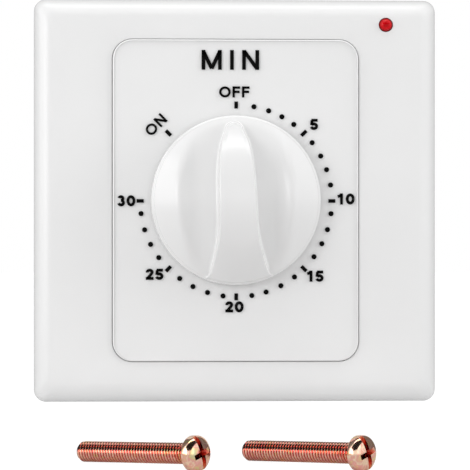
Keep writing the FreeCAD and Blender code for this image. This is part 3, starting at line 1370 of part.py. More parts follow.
def make_wall_screws():
    """The two loose screws that hold the base to the wall box, lying in front of it."""
    loose = []
    tilt = math.asin((number("bolt_head") - number("bolt_major")) / number("bolt_length"))
    yaw = math.radians(number("bolt_yaw"))
    aim = V(math.cos(yaw) * math.cos(tilt), -math.sin(yaw) * math.cos(tilt), math.sin(tilt))
    for name, x in (("left_wall_screw", "bolt_left_x"), ("right_wall_screw", "bolt_right_x")):
        body = doc.addObject("PartDesign::Body", name)
        half = "(bolt_length / 2)"
        revolve(
            body,
            "screw",
            [
                ("0", "-" + half),
                ("bolt_major", "-" + half),
                ("bolt_major", half),
                ("bolt_head", half),
                ("bolt_head", half + " + bolt_head_edge"),
                ("bolt_crown", half + " + bolt_head_height"),
                ("0", half + " + bolt_head_height"),
            ],
        )
        recess = new_sketch(body, "slot_plan", offset=half + " + bolt_head_height")
        rectangle(recess, "2 * (bolt_head + past)", "bolt_slot")
        pocket(body, "slot", recess, "bolt_slot_depth")
        cross = new_sketch(body, "cross_plan", offset=half + " + bolt_head_height")
        rectangle(cross, "bolt_slot", "bolt_cross_width")
        pocket(body, "cross", cross, "bolt_cross_depth")
        body.Placement = FreeCAD.Placement(V(0, 0, 0), FreeCAD.Rotation(V(0, 0, 1), aim))
        bind(body, "Placement.Base.x", x)
        bind(body, "Placement.Base.y", "-bolt_front")
        bind(body, "Placement.Base.z", "-bolt_down")
        loose.append(body)
    pair = doc.addObject("Part::Compound", "wall_screws")
    pair.Links = loose
    pieces.append(pair)


make_surround()
make_panel()
make_base()
make_lamp()
make_knob()
make_main_arbor()
make_frame()
make_mainspring()
make_train()
make_escapement()
make_switch()
make_terminals()
make_housing()
make_wall_screws()


def save(folder):
    """Check every piece, then write one file for each."""
    doc.recompute()
    faults = [o.Label for o in doc.Objects if "Invalid" in o.State or "Error" in o.State]
    if faults:
        raise RuntimeError("these did not build: " + ", ".join(faults))
    for piece in pieces:
        shape = piece.Shape
        if shape.isNull() or not shape.isValid() or shape.Volume <= 0:
            raise RuntimeError(piece.Label + " has no valid solid")
    os.makedirs(folder, exist_ok=True)
    for piece in pieces:
        piece.Shape.exportStep(os.path.join(folder, piece.Label + ".step"))
        print(piece.Label, len(piece.Shape.Solids), "solid(s)", round(piece.Shape.Volume, 2), "mm3")


save("parts")
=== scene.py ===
"""Thirty minute clockwork countdown timer on a square wall plate, dressed for its portrait.

Metres, +X right and +Z up as seen from the room, -Y towards the room. Sizes here are millimetres
turned to metres by MM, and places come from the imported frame.
"""
import math

import bmesh
import bpy
from mathutils import Matrix, Vector


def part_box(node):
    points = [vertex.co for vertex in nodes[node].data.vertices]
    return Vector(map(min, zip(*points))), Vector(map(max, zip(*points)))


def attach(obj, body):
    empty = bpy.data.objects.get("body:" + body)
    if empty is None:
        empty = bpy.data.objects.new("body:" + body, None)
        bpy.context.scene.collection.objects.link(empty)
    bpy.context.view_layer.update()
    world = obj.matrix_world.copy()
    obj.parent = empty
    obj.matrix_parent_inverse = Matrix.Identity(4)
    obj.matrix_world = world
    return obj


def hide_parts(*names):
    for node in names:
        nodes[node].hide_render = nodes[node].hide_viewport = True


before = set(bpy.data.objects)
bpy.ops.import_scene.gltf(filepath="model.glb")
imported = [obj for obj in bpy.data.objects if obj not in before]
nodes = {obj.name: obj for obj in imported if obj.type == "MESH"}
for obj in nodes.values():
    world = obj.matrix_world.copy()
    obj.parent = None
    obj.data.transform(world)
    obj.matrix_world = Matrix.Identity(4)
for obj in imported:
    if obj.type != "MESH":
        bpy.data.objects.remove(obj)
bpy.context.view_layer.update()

MM = 0.001
SHARP = math.radians(32)
CORNER_STEPS = 10
TOUCHING = 0.001 * MM
TO_THE_ROOM = Matrix.Rotation(math.radians(90), 4, "X")

# Photograph: a frame of 470 x 470 pixels in which the 86 mm plate is 401 pixels wide
PHOTO_SIZE = 470
PLATE_PIXELS = 401
PHOTO_CENTRE_X = -0.7
PHOTO_CENTRE_Y = 34.3
CAMERA_DISTANCE = 450 * MM
CAMERA_AZIMUTH = math.radians(-2.15)
SENSOR = 36.0

plate_lo, plate_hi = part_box("surround_frame")
panel_lo, panel_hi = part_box("dial_panel")
knob_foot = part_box("knob")[1].y
lamp_lo, lamp_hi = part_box("indicator_lamp")
floor_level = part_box("wall_screws")[0].z

PLATE_WIDTH = plate_hi.x - plate_lo.x
PLATE_FACE = plate_lo.y
PANEL_FACE = panel_lo.y
PIXEL = PLATE_WIDTH / PLATE_PIXELS
LAMP_MIDDLE = (lamp_lo + lamp_hi) / 2
LAMP_RADIUS = 1.5 * MM


def linear(code):
    """An sRGB hex colour as the linear values that a shader takes."""
    def channel(pair):
        value = int(pair, 16) / 255
        return value / 12.92 if value <= 0.04045 else ((value + 0.055) / 1.055) ** 2.4

    return (channel(code[0:2]), channel(code[2:4]), channel(code[4:6]), 1.0)


def add(tree, kind, settings=None, **links):
    """Add a node to a material with its settings, socket values and links."""
    node = tree.nodes.new(kind)
    for name, value in (settings or {}).items():
        setattr(node, name, value)
    for name, value in links.items():
        socket = node.inputs[int(name[1:])] if name[1:].isdigit() else node.inputs[name.replace("_", " ")]
        if isinstance(value, bpy.types.NodeSocket):
            tree.links.new(value, socket)
        else:
            socket.default_value = value
    return node


def new_material(name, **values):
    """A principled material, its tree and its shader."""
    material = bpy.data.materials.new(name)
    material.use_nodes = True
    tree = material.node_tree
    shader = tree.nodes["Principled BSDF"]
    for socket, value in values.items():
        shader.inputs[socket.replace("_", " ")].default_value = value
    return material, tree, shader


def place(tree, size):
    """Object coordinates in which one unit is as long as size, in metres."""
    spot = add(tree, "ShaderNodeTexCoord").outputs["Object"]
    return add(tree, "ShaderNodeMapping", Vector=spot, Scale=(1 / size, 1 / size, 1 / size)).outputs[0]


def ramp(tree, share, stops):
    """A colour ramp of (position, colour) stops, of which the first two run upwards."""
    node = add(tree, "ShaderNodeValToRGB", Fac=share)
    elements = node.color_ramp.elements
    for element, (position, code) in zip(list(elements), stops):
        element.position = position
        element.color = linear(code)
    for position, code in stops[2:]:
        elements.new(position).color = linear(code)
    return node.outputs[0]


def grain(tree, shader, size, height, roughness):
    """Fine moulded or rolled grain: bump and a little roughness change, size in metres."""
    noise = add(tree, "ShaderNodeTexNoise", Vector=place(tree, size), Scale=1.0, Detail=2.0)
    bump = add(tree, "ShaderNodeBump", Height=noise.outputs[0], Strength=1.0, Distance=height)
    tree.links.new(bump.outputs[0], shader.inputs["Normal"])
    low, high = roughness
    spread = add(tree, "ShaderNodeMapRange", Value=noise.outputs[0], To_Min=low, To_Max=high)
    tree.links.new(spread.outputs[0], shader.inputs["Roughness"])


def tint(tree, shader, light, dark, size):
    """Slow colour change between two shades, size in metres."""
    noise = add(tree, "ShaderNodeTexNoise", Vector=place(tree, size), Scale=1.0, Detail=3.0)
    shades = ramp(tree, noise.outputs[0], ((0.3, dark), (0.7, light)))
    tree.links.new(shades, shader.inputs["Base Color"])


def white_abs(name, light, dark, roughness):
    """Injection moulded white ABS: clean, almost neutral, with the soft gloss of a polished tool."""
    material, tree, shader = new_material(name, IOR=1.54)
    tint(tree, shader, light, dark, 20 * MM)
    grain(tree, shader, 0.12 * MM, 0.00005 * MM, roughness)
    return material


def dull_plastic(name, light, dark, roughness):
    """Moulded engineering plastic with a fine spark-eroded texture."""
    material, tree, shader = new_material(name, IOR=1.58)
    tint(tree, shader, light, dark, 9 * MM)
    grain(tree, shader, 0.3 * MM, 0.006 * MM, roughness)
    return material


def cut_metal(name, light, dark, roughness):
    """Stamped or turned metal: slow change of tone and fine rolled grain."""
    material, tree, shader = new_material(name, Metallic=1.0)
    tint(tree, shader, light, dark, 4 * MM)
    grain(tree, shader, 0.12 * MM, 0.002 * MM, roughness)
    return material


def red_epoxy():
    """Cast epoxy of a 3 mm lamp: red with a wet gloss, with painted shade that darkens it towards the rim,
    a painted highlight as a paler ring inside it, and a faint painted glow.
    """
    material, tree, shader = new_material("red_cast_epoxy", IOR=1.53, Specular_IOR_Level=0.18)
    spot = add(tree, "ShaderNodeTexCoord").outputs["Object"]
    apart = add(tree, "ShaderNodeVectorMath", {"operation": "SUBTRACT"}, _0=spot, _1=tuple(LAMP_MIDDLE))
    flat = add(tree, "ShaderNodeVectorMath", {"operation": "MULTIPLY"}, _0=apart.outputs[0], _1=(1, 0, 1))
    reach = add(tree, "ShaderNodeVectorMath", {"operation": "LENGTH"}, _0=flat.outputs[0])
    share = add(tree, "ShaderNodeMath", {"operation": "DIVIDE"}, _0=reach.outputs["Value"], _1=LAMP_RADIUS)
    # Painted shade and highlight: darkest at the rim, a little dark at the middle, paler in the ring
    # between
    stops = ((0, "A80008"), (1, "500004"), (0.35, "B80009"), (0.6, "D6101A"), (0.82, "A00007"))
    depth = ramp(tree, share.outputs[0], stops)
    tree.links.new(depth, shader.inputs["Base Color"])
    # A faint painted glow that brightens the red of the unlit lens
    shader.inputs["Emission Color"].default_value = linear("D8000C")
    shader.inputs["Emission Strength"].default_value = 0.03
    grain(tree, shader, 0.4 * MM, 0.0005 * MM, (0.05, 0.08))
    return material


def screen_ink():
    """Screen printed black ink, slightly matt."""
    material, tree, shader = new_material("black_screen_ink", IOR=1.5, Specular_IOR_Level=0.08)
    tint(tree, shader, "060606", "030303", 2 * MM)
    grain(tree, shader, 0.15 * MM, 0.002 * MM, (0.6, 0.7))
    return material


def yellow_zinc():
    """Zinc plated steel, passivated yellow: gold, rose and pale green films, with painted shade that turns
    it rose and then maroon down into the thread's valleys and the cross recess.
    """
    material, tree, shader = new_material("yellow_passivated_zinc", Metallic=1.0)
    spot = place(tree, 2.2 * MM)
    noise = add(tree, "ShaderNodeTexNoise", Vector=spot, Scale=1.0, Detail=2.0, Distortion=0.6)
    films = (
        (0.30, "F8DDAE"), (0.42, "F6BDB4"), (0.50, "FDEBD0"), (0.58, "F4B4B4"), (0.66, "F0DCA8"),
        (0.76, "DCE0BC"),
    )
    film = ramp(tree, noise.outputs[0], films)
    # Painted shade: the depth below the crests turns the film rose and then maroon in the thread's valleys
    # and the cross recess
    depth = add(tree, "ShaderNodeAttribute", {"attribute_name": "valley"})
    shade = ramp(tree, depth.outputs["Fac"], ((0, "FFF4EA"), (1, "84222E"), (0.35, "F0ACA6")))
    multiply = {"data_type": "RGBA", "blend_type": "MULTIPLY"}
    both = add(tree, "ShaderNodeMix", multiply, _0=1.0, _6=film, _7=shade)
    tree.links.new(both.outputs[2], shader.inputs["Base Color"])
    grain(tree, shader, 0.2 * MM, 0.001 * MM, (0.10, 0.16))
    return material


def resin_board():
    """Paper phenolic board, brown, with the faint weave of its paper."""
    material, tree, shader = new_material("phenolic_board", IOR=1.55)
    tint(tree, shader, "B98A4E", "9C7038", 1.5 * MM)
    grain(tree, shader, 0.2 * MM, 0.004 * MM, (0.35, 0.5))
    return material


PLATE_WHITE = white_abs("white_abs_plate", "EDEDED", "EBEBEB", (0.26, 0.28))
KNOB_WHITE = white_abs("white_abs_knob", "ECECEC", "EAEAEA", (0.20, 0.22))
INK = screen_ink()
RED = red_epoxy()
ZINC_YELLOW = yellow_zinc()
GREY = dull_plastic("grey_glass_filled_nylon", "C9CBCB", "BDBFC0", (0.42, 0.55))
IVORY = dull_plastic("ivory_phenolic_moulding", "D9D3C2", "CDC6B2", (0.38, 0.5))
BLACK = dull_plastic("black_acetal", "26272A", "1D1E20", (0.3, 0.42))
BRASS = cut_metal("stamped_brass", "E1BE6C", "C79E4A", (0.22, 0.36))
ZINC = cut_metal("zinc_plated_steel", "C9CCD0", "AEB3BA", (0.24, 0.38))
TURNED = cut_metal("turned_steel", "BDBDBD", "A2A3A6", (0.16, 0.28))
BLUED = cut_metal("blued_spring_steel", "56606E", "3A4452", (0.2, 0.32))
SILVER = cut_metal("silver_contact_alloy", "E4E4E0", "D2D2CE", (0.2, 0.3))
TINNED = cut_metal("tinned_copper", "C4C6C6", "A9ABAC", (0.25, 0.4))
BOARD = resin_board()
CERAMIC = dull_plastic("blue_resistor_lacquer", "7FA3B8", "6B8FA6", (0.25, 0.35))

NODE_FINISH = {
    "mounting_base": GREY,
    "rear_housing": GREY,
    "contact_block": IVORY,
    "terminal_block": IVORY,
    "switch_cam": BLACK,
    "lamp_board": BOARD,
    "lamp_resistor": CERAMIC,
    "lamp_leads": TINNED,
    "main_arbor": TURNED,
    "front_bush": BRASS,
    "bush_nut": ZINC,
    "knob_clip": BLUED,
    "arbor_circlip": BLUED,
    "front_plate": ZINC,
    "back_plate": ZINC,
    "frame_pillars": ZINC,
    "spring_post": TURNED,
    "mainspring": BLUED,
    "main_wheel": BRASS,
    "second_arbor": TURNED,
    "second_wheel": BRASS,
    "third_arbor": TURNED,
    "third_wheel": BRASS,
    "escape_arbor": TURNED,
    "escape_wheel": BRASS,
    "verge": TURNED,
    "balance_bar": BRASS,
    "verge_arbor": TURNED,
    "moving_leaf": BLUED,
    "fixed_leaf": BRASS,
    "fixed_contact": SILVER,
    "moving_contact": SILVER,
    "leaf_pin": ZINC,
    "brass_terminals": BRASS,
    "terminal_screws": ZINC,
    "housing_screws": ZINC,
}


def dress_frame():
    """Give every CAD piece that shows as it is its own finish."""
    for name, material in NODE_FINISH.items():
        thing = nodes[name]
        if not thing.material_slots:
            thing.data.materials.append(material)
        for holder in thing.material_slots:
            holder.material = material


def soften(bm):
    """Smooth shading that breaks at real edges."""
    bm.normal_update()
    for face in bm.faces:
        face.smooth = True
    for edge in bm.edges:
        edge.smooth = edge.calc_face_angle(0) < SHARP


def finished(name, bm, material, body, *replaced, slot):
    """Turn a bmesh into a piece that rides on a body, with the CAD pieces it replaces hidden. The slot is
    not used.
    """
    soften(bm)
    mesh = bpy.data.meshes.new(name)
    bm.to_mesh(mesh)
    bm.free()
    mesh.materials.append(material)
    piece = bpy.data.objects.new(name, mesh)
    bpy.context.collection.objects.link(piece)
    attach(piece, body)
    if replaced:
        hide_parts(*replaced)
    return piece


def join_mesh(bm, other, matrix=None):
    """Add a copy of another bmesh, moved by a matrix, and free it."""
    if matrix:
        bmesh.ops.transform(other, matrix=matrix, verts=other.verts)
    scratch = bpy.data.meshes.new("scratch")
    other.to_mesh(scratch)
    other.free()
    bm.from_mesh(scratch)
    bpy.data.meshes.remove(scratch)


def grow(bm, verts, places):
    """Extrude a closed ring of vertices and put the new ring in its places, in the same order."""
    loop = [bm.edges.get(pair) for pair in zip(verts, verts[1:] + verts[:1])]
    made = bmesh.ops.extrude_edge_only(bm, edges=loop)
    fresh = {g for g in made["geom"] if isinstance(g, bmesh.types.BMVert)}
    follow = [next(e.other_vert(v) for e in v.link_edges if e.other_vert(v) in fresh) for v in verts]
    for vert, where in zip(follow, places):
        vert.co = where
    return follow


def first_ring(bm, places):
    """Start a piece with a closed ring of vertices."""
    made = bmesh.ops.create_circle(bm, segments=len(places), radius=1)
    verts = sorted(made["verts"], key=lambda v: math.atan2(v.co.y, v.co.x))
    for vert, where in zip(verts, places):
        vert.co = where
    return verts


def close(bm, verts):
    """Fill a ring with one face."""
    loop = [bm.edges.get(pair) for pair in zip(verts, verts[1:] + verts[:1])]
    bmesh.ops.contextual_create(bm, geom=loop)


def spun(bm, profile, steps, merge):
    """Turn a profile of (radius, height) pairs round the Z axis and join what meets."""
    verts = [bm.verts.new((radius, 0, height)) for radius, height in profile]
    edges = [bm.edges.new(pair) for pair in zip(verts, verts[1:])]
    bmesh.ops.spin(
        bm, geom=verts + edges, cent=(0, 0, 0), axis=(0, 0, 1), angle=math.tau, steps=steps, use_merge=True,
    )
    bmesh.ops.remove_doubles(bm, verts=bm.verts, dist=merge)


def rounded(half_width, half_height, corner, y):
    """Places of a rounded rectangle that faces the room."""
    places = []
    for quadrant in range(4):
        cx = (half_width - corner) * (1 if quadrant in (0, 3) else -1)
        cz = (half_height - corner) * (1 if quadrant < 2 else -1)
        for step in range(CORNER_STEPS + 1):
            angle = math.radians(90) * (quadrant + step / CORNER_STEPS)
            places.append((cx + corner * math.cos(angle), y, cz + corner * math.sin(angle)))
    return places


def shell(rings, filled):
    """Loft rounded rectangles, each (half width, half height, corner, y), and fill the ends if asked."""
    bm = bmesh.new()
    verts = first_ring(bm, rounded(*rings[0]))
    if filled:
        close(bm, verts)
    for measures in rings[1:]:
        verts = grow(bm, verts, rounded(*measures))
    if filled:
        close(bm, verts)
    bmesh.ops.remove_doubles(bm, verts=bm.verts, dist=TOUCHING)
    bmesh.ops.recalc_face_normals(bm, faces=bm.faces)
    return bm


def quarter(count):
    """Angles of a quarter circle, both ends included."""
    return [math.radians(90) * step / count for step in range(count + 1)]


# Surround and panel: sizes as in the CAD model, but for the seam between them and the lamp's hole,
# which the photograph shows almost closed
EDGE_ROUND = 4.3 * MM
PLATE_CORNER = 2.6 * MM
WALL = 2.3 * MM
PANEL_GAP = 0.11 * MM
LIP = 0.15 * MM
WINDOW_DEEP = 1.2 * MM
WINDOW_WALL = 1.3 * MM
PANEL_CORNER = 4.2 * MM
PANEL_EDGE = 0.3 * MM
PANEL_THICK = 2 * MM
SKIRT = 1.5 * MM
HUB_HOLE = 6.6 * MM
LAMP_HOLE = 1.53 * MM
DRILL_LONG = 12 * MM


def build_surround():
    """The outer frame: wall, rounded front edge, flat face, window with its small lip, lamp hole."""
    half = PLATE_WIDTH / 2
    inner = half - WALL
    window_half = (panel_hi.x - panel_lo.x) / 2 + PANEL_GAP
    window_tall = (panel_hi.z - panel_lo.z) / 2 + PANEL_GAP
    corner = PANEL_CORNER + PANEL_GAP
    rings = [
        (inner, inner, PLATE_CORNER * 0.4, PLATE_FACE + WALL),
        (inner, inner, PLATE_CORNER * 0.4, 0),
        (half, half, PLATE_CORNER, 0),
    ]
    for angle in quarter(14):
        inset = EDGE_ROUND * (1 - math.cos(angle))
        rise = EDGE_ROUND * (1 - math.sin(angle))
        shrunk = half - inset
        rings.append((shrunk, shrunk, PLATE_CORNER * (1 - 0.3 * inset / EDGE_ROUND), PLATE_FACE + rise))
    for angle in quarter(5):
        outset = LIP * (1 - math.sin(angle))
        drop = LIP * (1 - math.cos(angle))
        rings.append((window_half + outset, window_tall + outset, corner + outset, PLATE_FACE + drop))
    window_foot = PLATE_FACE + WALL + WINDOW_DEEP
    rings.append((window_half, window_tall, corner, window_foot))
    rings.append((window_half + WINDOW_WALL, window_tall + WINDOW_WALL, corner, window_foot))
    rings.append((window_half + WINDOW_WALL, window_tall + WINDOW_WALL, corner, PLATE_FACE + WALL))
    rings.append(rings[0])
    bm = shell(rings, filled=False)
    piece = finished(
        "surround_frame_moulding", bm, PLATE_WHITE, "surround", "surround_frame", slot="white_plastic"
    )
    drill(piece, LAMP_HOLE, 48, (LAMP_MIDDLE.x, PLATE_FACE, LAMP_MIDDLE.z))


def drill(piece, radius, segments, where):
    """Cut a round hole through a piece from the front."""
    bm = bmesh.new()
    bmesh.ops.create_cone(
        bm, cap_ends=True, segments=segments, radius1=radius, radius2=radius, depth=DRILL_LONG,
        matrix=Matrix.Translation(where) @ TO_THE_ROOM,
    )
    carve(piece, bm)


def carve(piece, bm):
    """Cut a bmesh out of a piece and leave a plain mesh without modifiers."""
    mesh = bpy.data.meshes.new("cutter")
    bm.to_mesh(mesh)
    bm.free()
    cutter = bpy.data.objects.new("cutter", mesh)
    bpy.context.collection.objects.link(cutter)
    cut = piece.modifiers.new("cut", "BOOLEAN")
    cut.operation = "DIFFERENCE"
    cut.solver = "EXACT"
    cut.object = cutter
    bpy.context.view_layer.update()
    carved = bpy.data.meshes.new_from_object(piece.evaluated_get(bpy.context.evaluated_depsgraph_get()))
    piece.modifiers.clear()
    bm = bmesh.new()
    bm.from_mesh(carved)
    soften(bm)
    bm.to_mesh(piece.data)
    bm.free()
    bpy.data.objects.remove(cutter)
    bpy.data.meshes.remove(mesh)
    bpy.data.meshes.remove(carved)


def build_panel():
    """The dial panel: skirt, a rounded rim that stands proud of the flat front, and the hub hole."""
    half = (panel_hi.x - panel_lo.x) / 2
    tall = (panel_hi.z - panel_lo.z) / 2
    under = (half - SKIRT, tall - SKIRT, PANEL_CORNER - SKIRT)
    rings = [
        (*under, PANEL_FACE + PANEL_THICK),
        (*under, panel_hi.y),
        (half, tall, PANEL_CORNER, panel_hi.y),
    ]
    for angle in quarter(5):
        inset = PANEL_EDGE * (1 - math.sin(angle))
        drop = PANEL_EDGE * (1 - math.cos(angle))
        rings.append((half - inset, tall - inset, PANEL_CORNER - inset, PANEL_FACE + drop))
    bm = shell(rings, filled=True)
    piece = finished(
        "dial_panel_moulding", bm, PLATE_WHITE, "timer_body", "dial_panel", slot="white_plastic"
    )
    drill(piece, HUB_HOLE, 64, (0, PANEL_FACE, 0))


# Knob: millimetres, heights from the foot of the rim towards the room. Sizes as in the CAD model, but for
# the shoulder outside the hollows, which the photograph's shading shows lower
KNOB_RADIUS = 18.0
KNOB_SKIRT = 3.2
KNOB_HEIGHT = 12.4
KNOB_DRAFT = 0.35
CROWN_RADIUS = 8.8
END_HEIGHT = 3.8
HOLLOW_HEIGHT = 6.0
HOLLOW_END = 2.6
HOLLOW_EDGE = 10.2
HOLLOW_RISE = 0.66
SHOULDER_RISE = 0.74
GRIP_LEAN = 2.1
GRIP_TIP_AT = 14.6
GRIP_TIP_RADIUS = 1.8
GRIP_WIDTHS = [
    (-16.6, 6.9), (-14.5, 5.9), (-11.3, 4.95), (-7.0, 4.1), (-2.5, 3.85), (3.0, 3.7), (8.0, 3.42),
    (12.0, 2.8), (GRIP_TIP_AT, GRIP_TIP_RADIUS),
]
GRIP_STEPS = 60
TIP_STEPS = 12
TOP_ROUND_SHARE = 0.35
FOOT_ROUND_SHARE = 0.4
GRIP_DRAFT = 0.18
NO_WALL = 0.05
SPINE_FOOT = -12.0
SPINE_TIP = 14.3
CROWN_BLEND = 1.2
TREAD_BLEND = 1.8
SHOULDER_BLEND = 1.0
WALL_FOOT_ROUND = 0.55
WALL_TOP_ROUND = 0.4
RIM_ROUND = 0.35
RIM_BEVEL = 0.25
RIM_WALL = 1.75
ROOF_FOOT = 1.2
ROOF = 3.6
HUB_RADIUS = 5.3
HUB_FOOT = -3.4
BORE_RADIUS = 3.05
BORE_TOP = 7.3
BORE_END = 0.2
RIM_POINTS = 112
FOOT_POINTS = 24
LANES = 30
TOP_STEPS = 8
KNOB_WELD = 0.004
RIM_FOOT = knob_foot + HUB_FOOT * MM


def spline(points, at):
    """A smooth curve through (place, value) pairs."""
    for index in range(len(points) - 1):
        if at <= points[index + 1][0] or index == len(points) - 2:
            break
    (x0, y0), (x1, y1) = points[index], points[index + 1]
    before = points[index - 1] if index else (x0 - (x1 - x0), y0 - (y1 - y0))
    after = points[index + 2] if index + 2 < len(points) else (x1 + (x1 - x0), y1 + (y1 - y0))
    share = (at - x0) / (x1 - x0)
    slope0 = (y1 - before[1]) / (x1 - before[0]) * (x1 - x0)
    slope1 = (after[1] - y0) / (after[0] - x0) * (x1 - x0)
    square = share * share
    cube = square * share
    return (
        (2 * cube - 3 * square + 1) * y0 + (cube - 2 * square + share) * slope0
        + (3 * square - 2 * cube) * y1 + (cube - square) * slope1
    )


def blend_low(a, b, reach):
    """The lower of two heights with a soft change between them."""
    share = max(reach - abs(a - b), 0) / reach
    return min(a, b) - share * share * reach / 4


def dome(x, y):
    """Height of the crown: a cone above the rim, and the grip's top, rounded lengthwise."""
    rim = KNOB_RADIUS - KNOB_DRAFT
    cone = KNOB_SKIRT + (rim - math.hypot(x, y)) * (KNOB_HEIGHT - KNOB_SKIRT) / (rim - CROWN_RADIUS)
    fall = KNOB_HEIGHT - END_HEIGHT
    barrel = (rim ** 2 + fall ** 2) / (2 * fall)
    return blend_low(cone, KNOB_HEIGHT - barrel + math.sqrt(barrel ** 2 - y * y), CROWN_BLEND)


def hollow(x, y):
    """Height of the finger hollows' floor, a tread that falls to both ends and rises to the sides."""
    drop = HOLLOW_HEIGHT - HOLLOW_END
    sweep = (KNOB_RADIUS ** 2 + drop ** 2) / (2 * drop)
    flat = HOLLOW_HEIGHT - sweep + math.sqrt(sweep ** 2 - y * y)
    rising = flat + (abs(x) - HOLLOW_EDGE) * HOLLOW_RISE
    return -blend_low(-flat, -rising, TREAD_BLEND)


def floor_height(x, y):
    """Height beside the grip: the rim's sloping shoulder and the hollow's floor, whichever is lower."""
    shoulder = KNOB_SKIRT + (KNOB_RADIUS - KNOB_DRAFT - math.hypot(x, y)) * SHOULDER_RISE
    return blend_low(min(shoulder, dome(x, y)), hollow(x, y), SHOULDER_BLEND)


def grip_side():
    """Points of the grip's outline from its foot corner, up the right side, to the middle of the tip."""
    points = []
    foot = GRIP_WIDTHS[0][0]
    for step in range(GRIP_STEPS):
        y = foot + (GRIP_TIP_AT - foot) * step / GRIP_STEPS
        points.append((spline(GRIP_WIDTHS, y), y))
    for angle in quarter(TIP_STEPS):
        points.append((GRIP_TIP_RADIUS * math.cos(angle), GRIP_TIP_AT + GRIP_TIP_RADIUS * math.sin(angle)))
    return points


def evenly(points, count):
    """The same line cut in count equal steps."""
    lengths = [0]
    for a, b in zip(points, points[1:]):
        lengths.append(lengths[-1] + math.dist(a, b))
    result = []
    for step in range(count + 1):
        want = lengths[-1] * step / count
        index = max(i for i, length in enumerate(lengths) if length <= want + 1e-9)
        index = min(index, len(points) - 2)
        share = (want - lengths[index]) / (lengths[index + 1] - lengths[index])
        a, b = points[index], points[index + 1]
        result.append((a[0] + (b[0] - a[0]) * share, a[1] + (b[1] - a[1]) * share))
    return result


def mirrored(side):
    """A line that ends on the middle, and on along its mirror image."""
    return side + [(-x, y) for x, y in reversed(side[:-1])]


def knob_outlines():
    """The rim circle and the grip outline, point for point, once round from the foot's right corner."""
    side = grip_side()
    corner = math.atan2(side[0][1], side[0][0])
    rim_side = []
    grip = evenly(side, RIM_POINTS)
    for step in range(RIM_POINTS + 1):
        angle = corner + (math.radians(90) - corner) * step / RIM_POINTS
        rim_side.append((math.cos(angle), math.sin(angle)))
    foot = []
    for step in range(1, FOOT_POINTS):
        angle = -math.pi - corner + (2 * corner + math.pi) * step / FOOT_POINTS
        foot.append((math.cos(angle), math.sin(angle)))
    on_rim = [(x * KNOB_RADIUS, y * KNOB_RADIUS) for x, y in foot]
    return mirrored(rim_side) + foot, mirrored(grip) + on_rim


def outward(points):
    """Unit normals of a closed line that runs anticlockwise."""
    result = []
    for index, point in enumerate(points):
        before = points[index - 1]
        after = points[(index + 1) % len(points)]
        dx, dy = after[0] - before[0], after[1] - before[1]
        size = math.hypot(dx, dy) or 1
        result.append((dy / size, -dx / size))
    return result


def knob_edge(bm, rim, on_foot):
    """Rings of the rim's outside, from its foot to the top of its round: the first and the last one."""
    def on_circle(radius, heights):
        return [(x * radius, y * radius, height) for (x, y), height in zip(rim, heights)]

    tops = []
    for (x, y), flat in zip(rim, on_foot):
        x, y = x * KNOB_RADIUS, y * KNOB_RADIUS
        tops.append(dome(x, y) if flat else floor_height(x, y))
    first = first_ring(bm, on_circle(KNOB_RADIUS - RIM_BEVEL, [0] * len(rim)))
    ring = grow(bm, first, on_circle(KNOB_RADIUS, [RIM_BEVEL] * len(rim)))
    for step in range(1, 4):
        low = RIM_BEVEL + step / 3
        radius = KNOB_RADIUS - KNOB_DRAFT * low / KNOB_SKIRT
        share = low / (RIM_BEVEL + 1)
        ring = grow(bm, ring, on_circle(radius, [share * (top - RIM_ROUND) for top in tops]))
    for angle in quarter(4)[1:]:
        radius = KNOB_RADIUS - KNOB_DRAFT - RIM_ROUND * (1 - math.cos(angle))
        drop = RIM_ROUND * (1 - math.sin(angle))
        ring = grow(bm, ring, on_circle(radius, [top - drop for top in tops]))
    return first, ring


def grip_walls(outline, on_foot):
    """The grip's wall at each point: how high it stands, and its rounds at foot and top."""
    walls = []
    for (x, y), flat in zip(outline, on_foot):
        tall = 0 if flat else max(dome(x, y) - floor_height(x, y), 0)
        foot_round = min(WALL_FOOT_ROUND, tall * FOOT_ROUND_SHARE)
        walls.append((tall, foot_round, min(WALL_TOP_ROUND, tall * TOP_ROUND_SHARE)))
    return walls


def wall_ring(points, starts, normals, walls, on_foot, turn, at_top):
    """One ring of the grip's wall: of the round at its foot, or of the round at its top."""
    positions = []
    for (x, y), (sx, sy), (nx, ny), wall, flat in zip(points, starts, normals, walls, on_foot):
        tall, foot_round, top_round = wall
        if flat or tall < NO_WALL:
            positions.append((x, y, dome(x, y)))
            continue
        if at_top:
            across = -top_round * (1 - math.cos(turn))
            height = dome(x, y) - top_round * (1 - math.sin(turn))
        else:
            lean = GRIP_DRAFT * min(tall / 2, 1)
            out = math.hypot(sx - x, sy - y)
            across = lean + (out - lean) * (1 - math.sin(turn))
            height = floor_height(sx, sy) + foot_round * (1 - math.cos(turn))
        positions.append((x + nx * across, y + ny * across, height))
    return positions


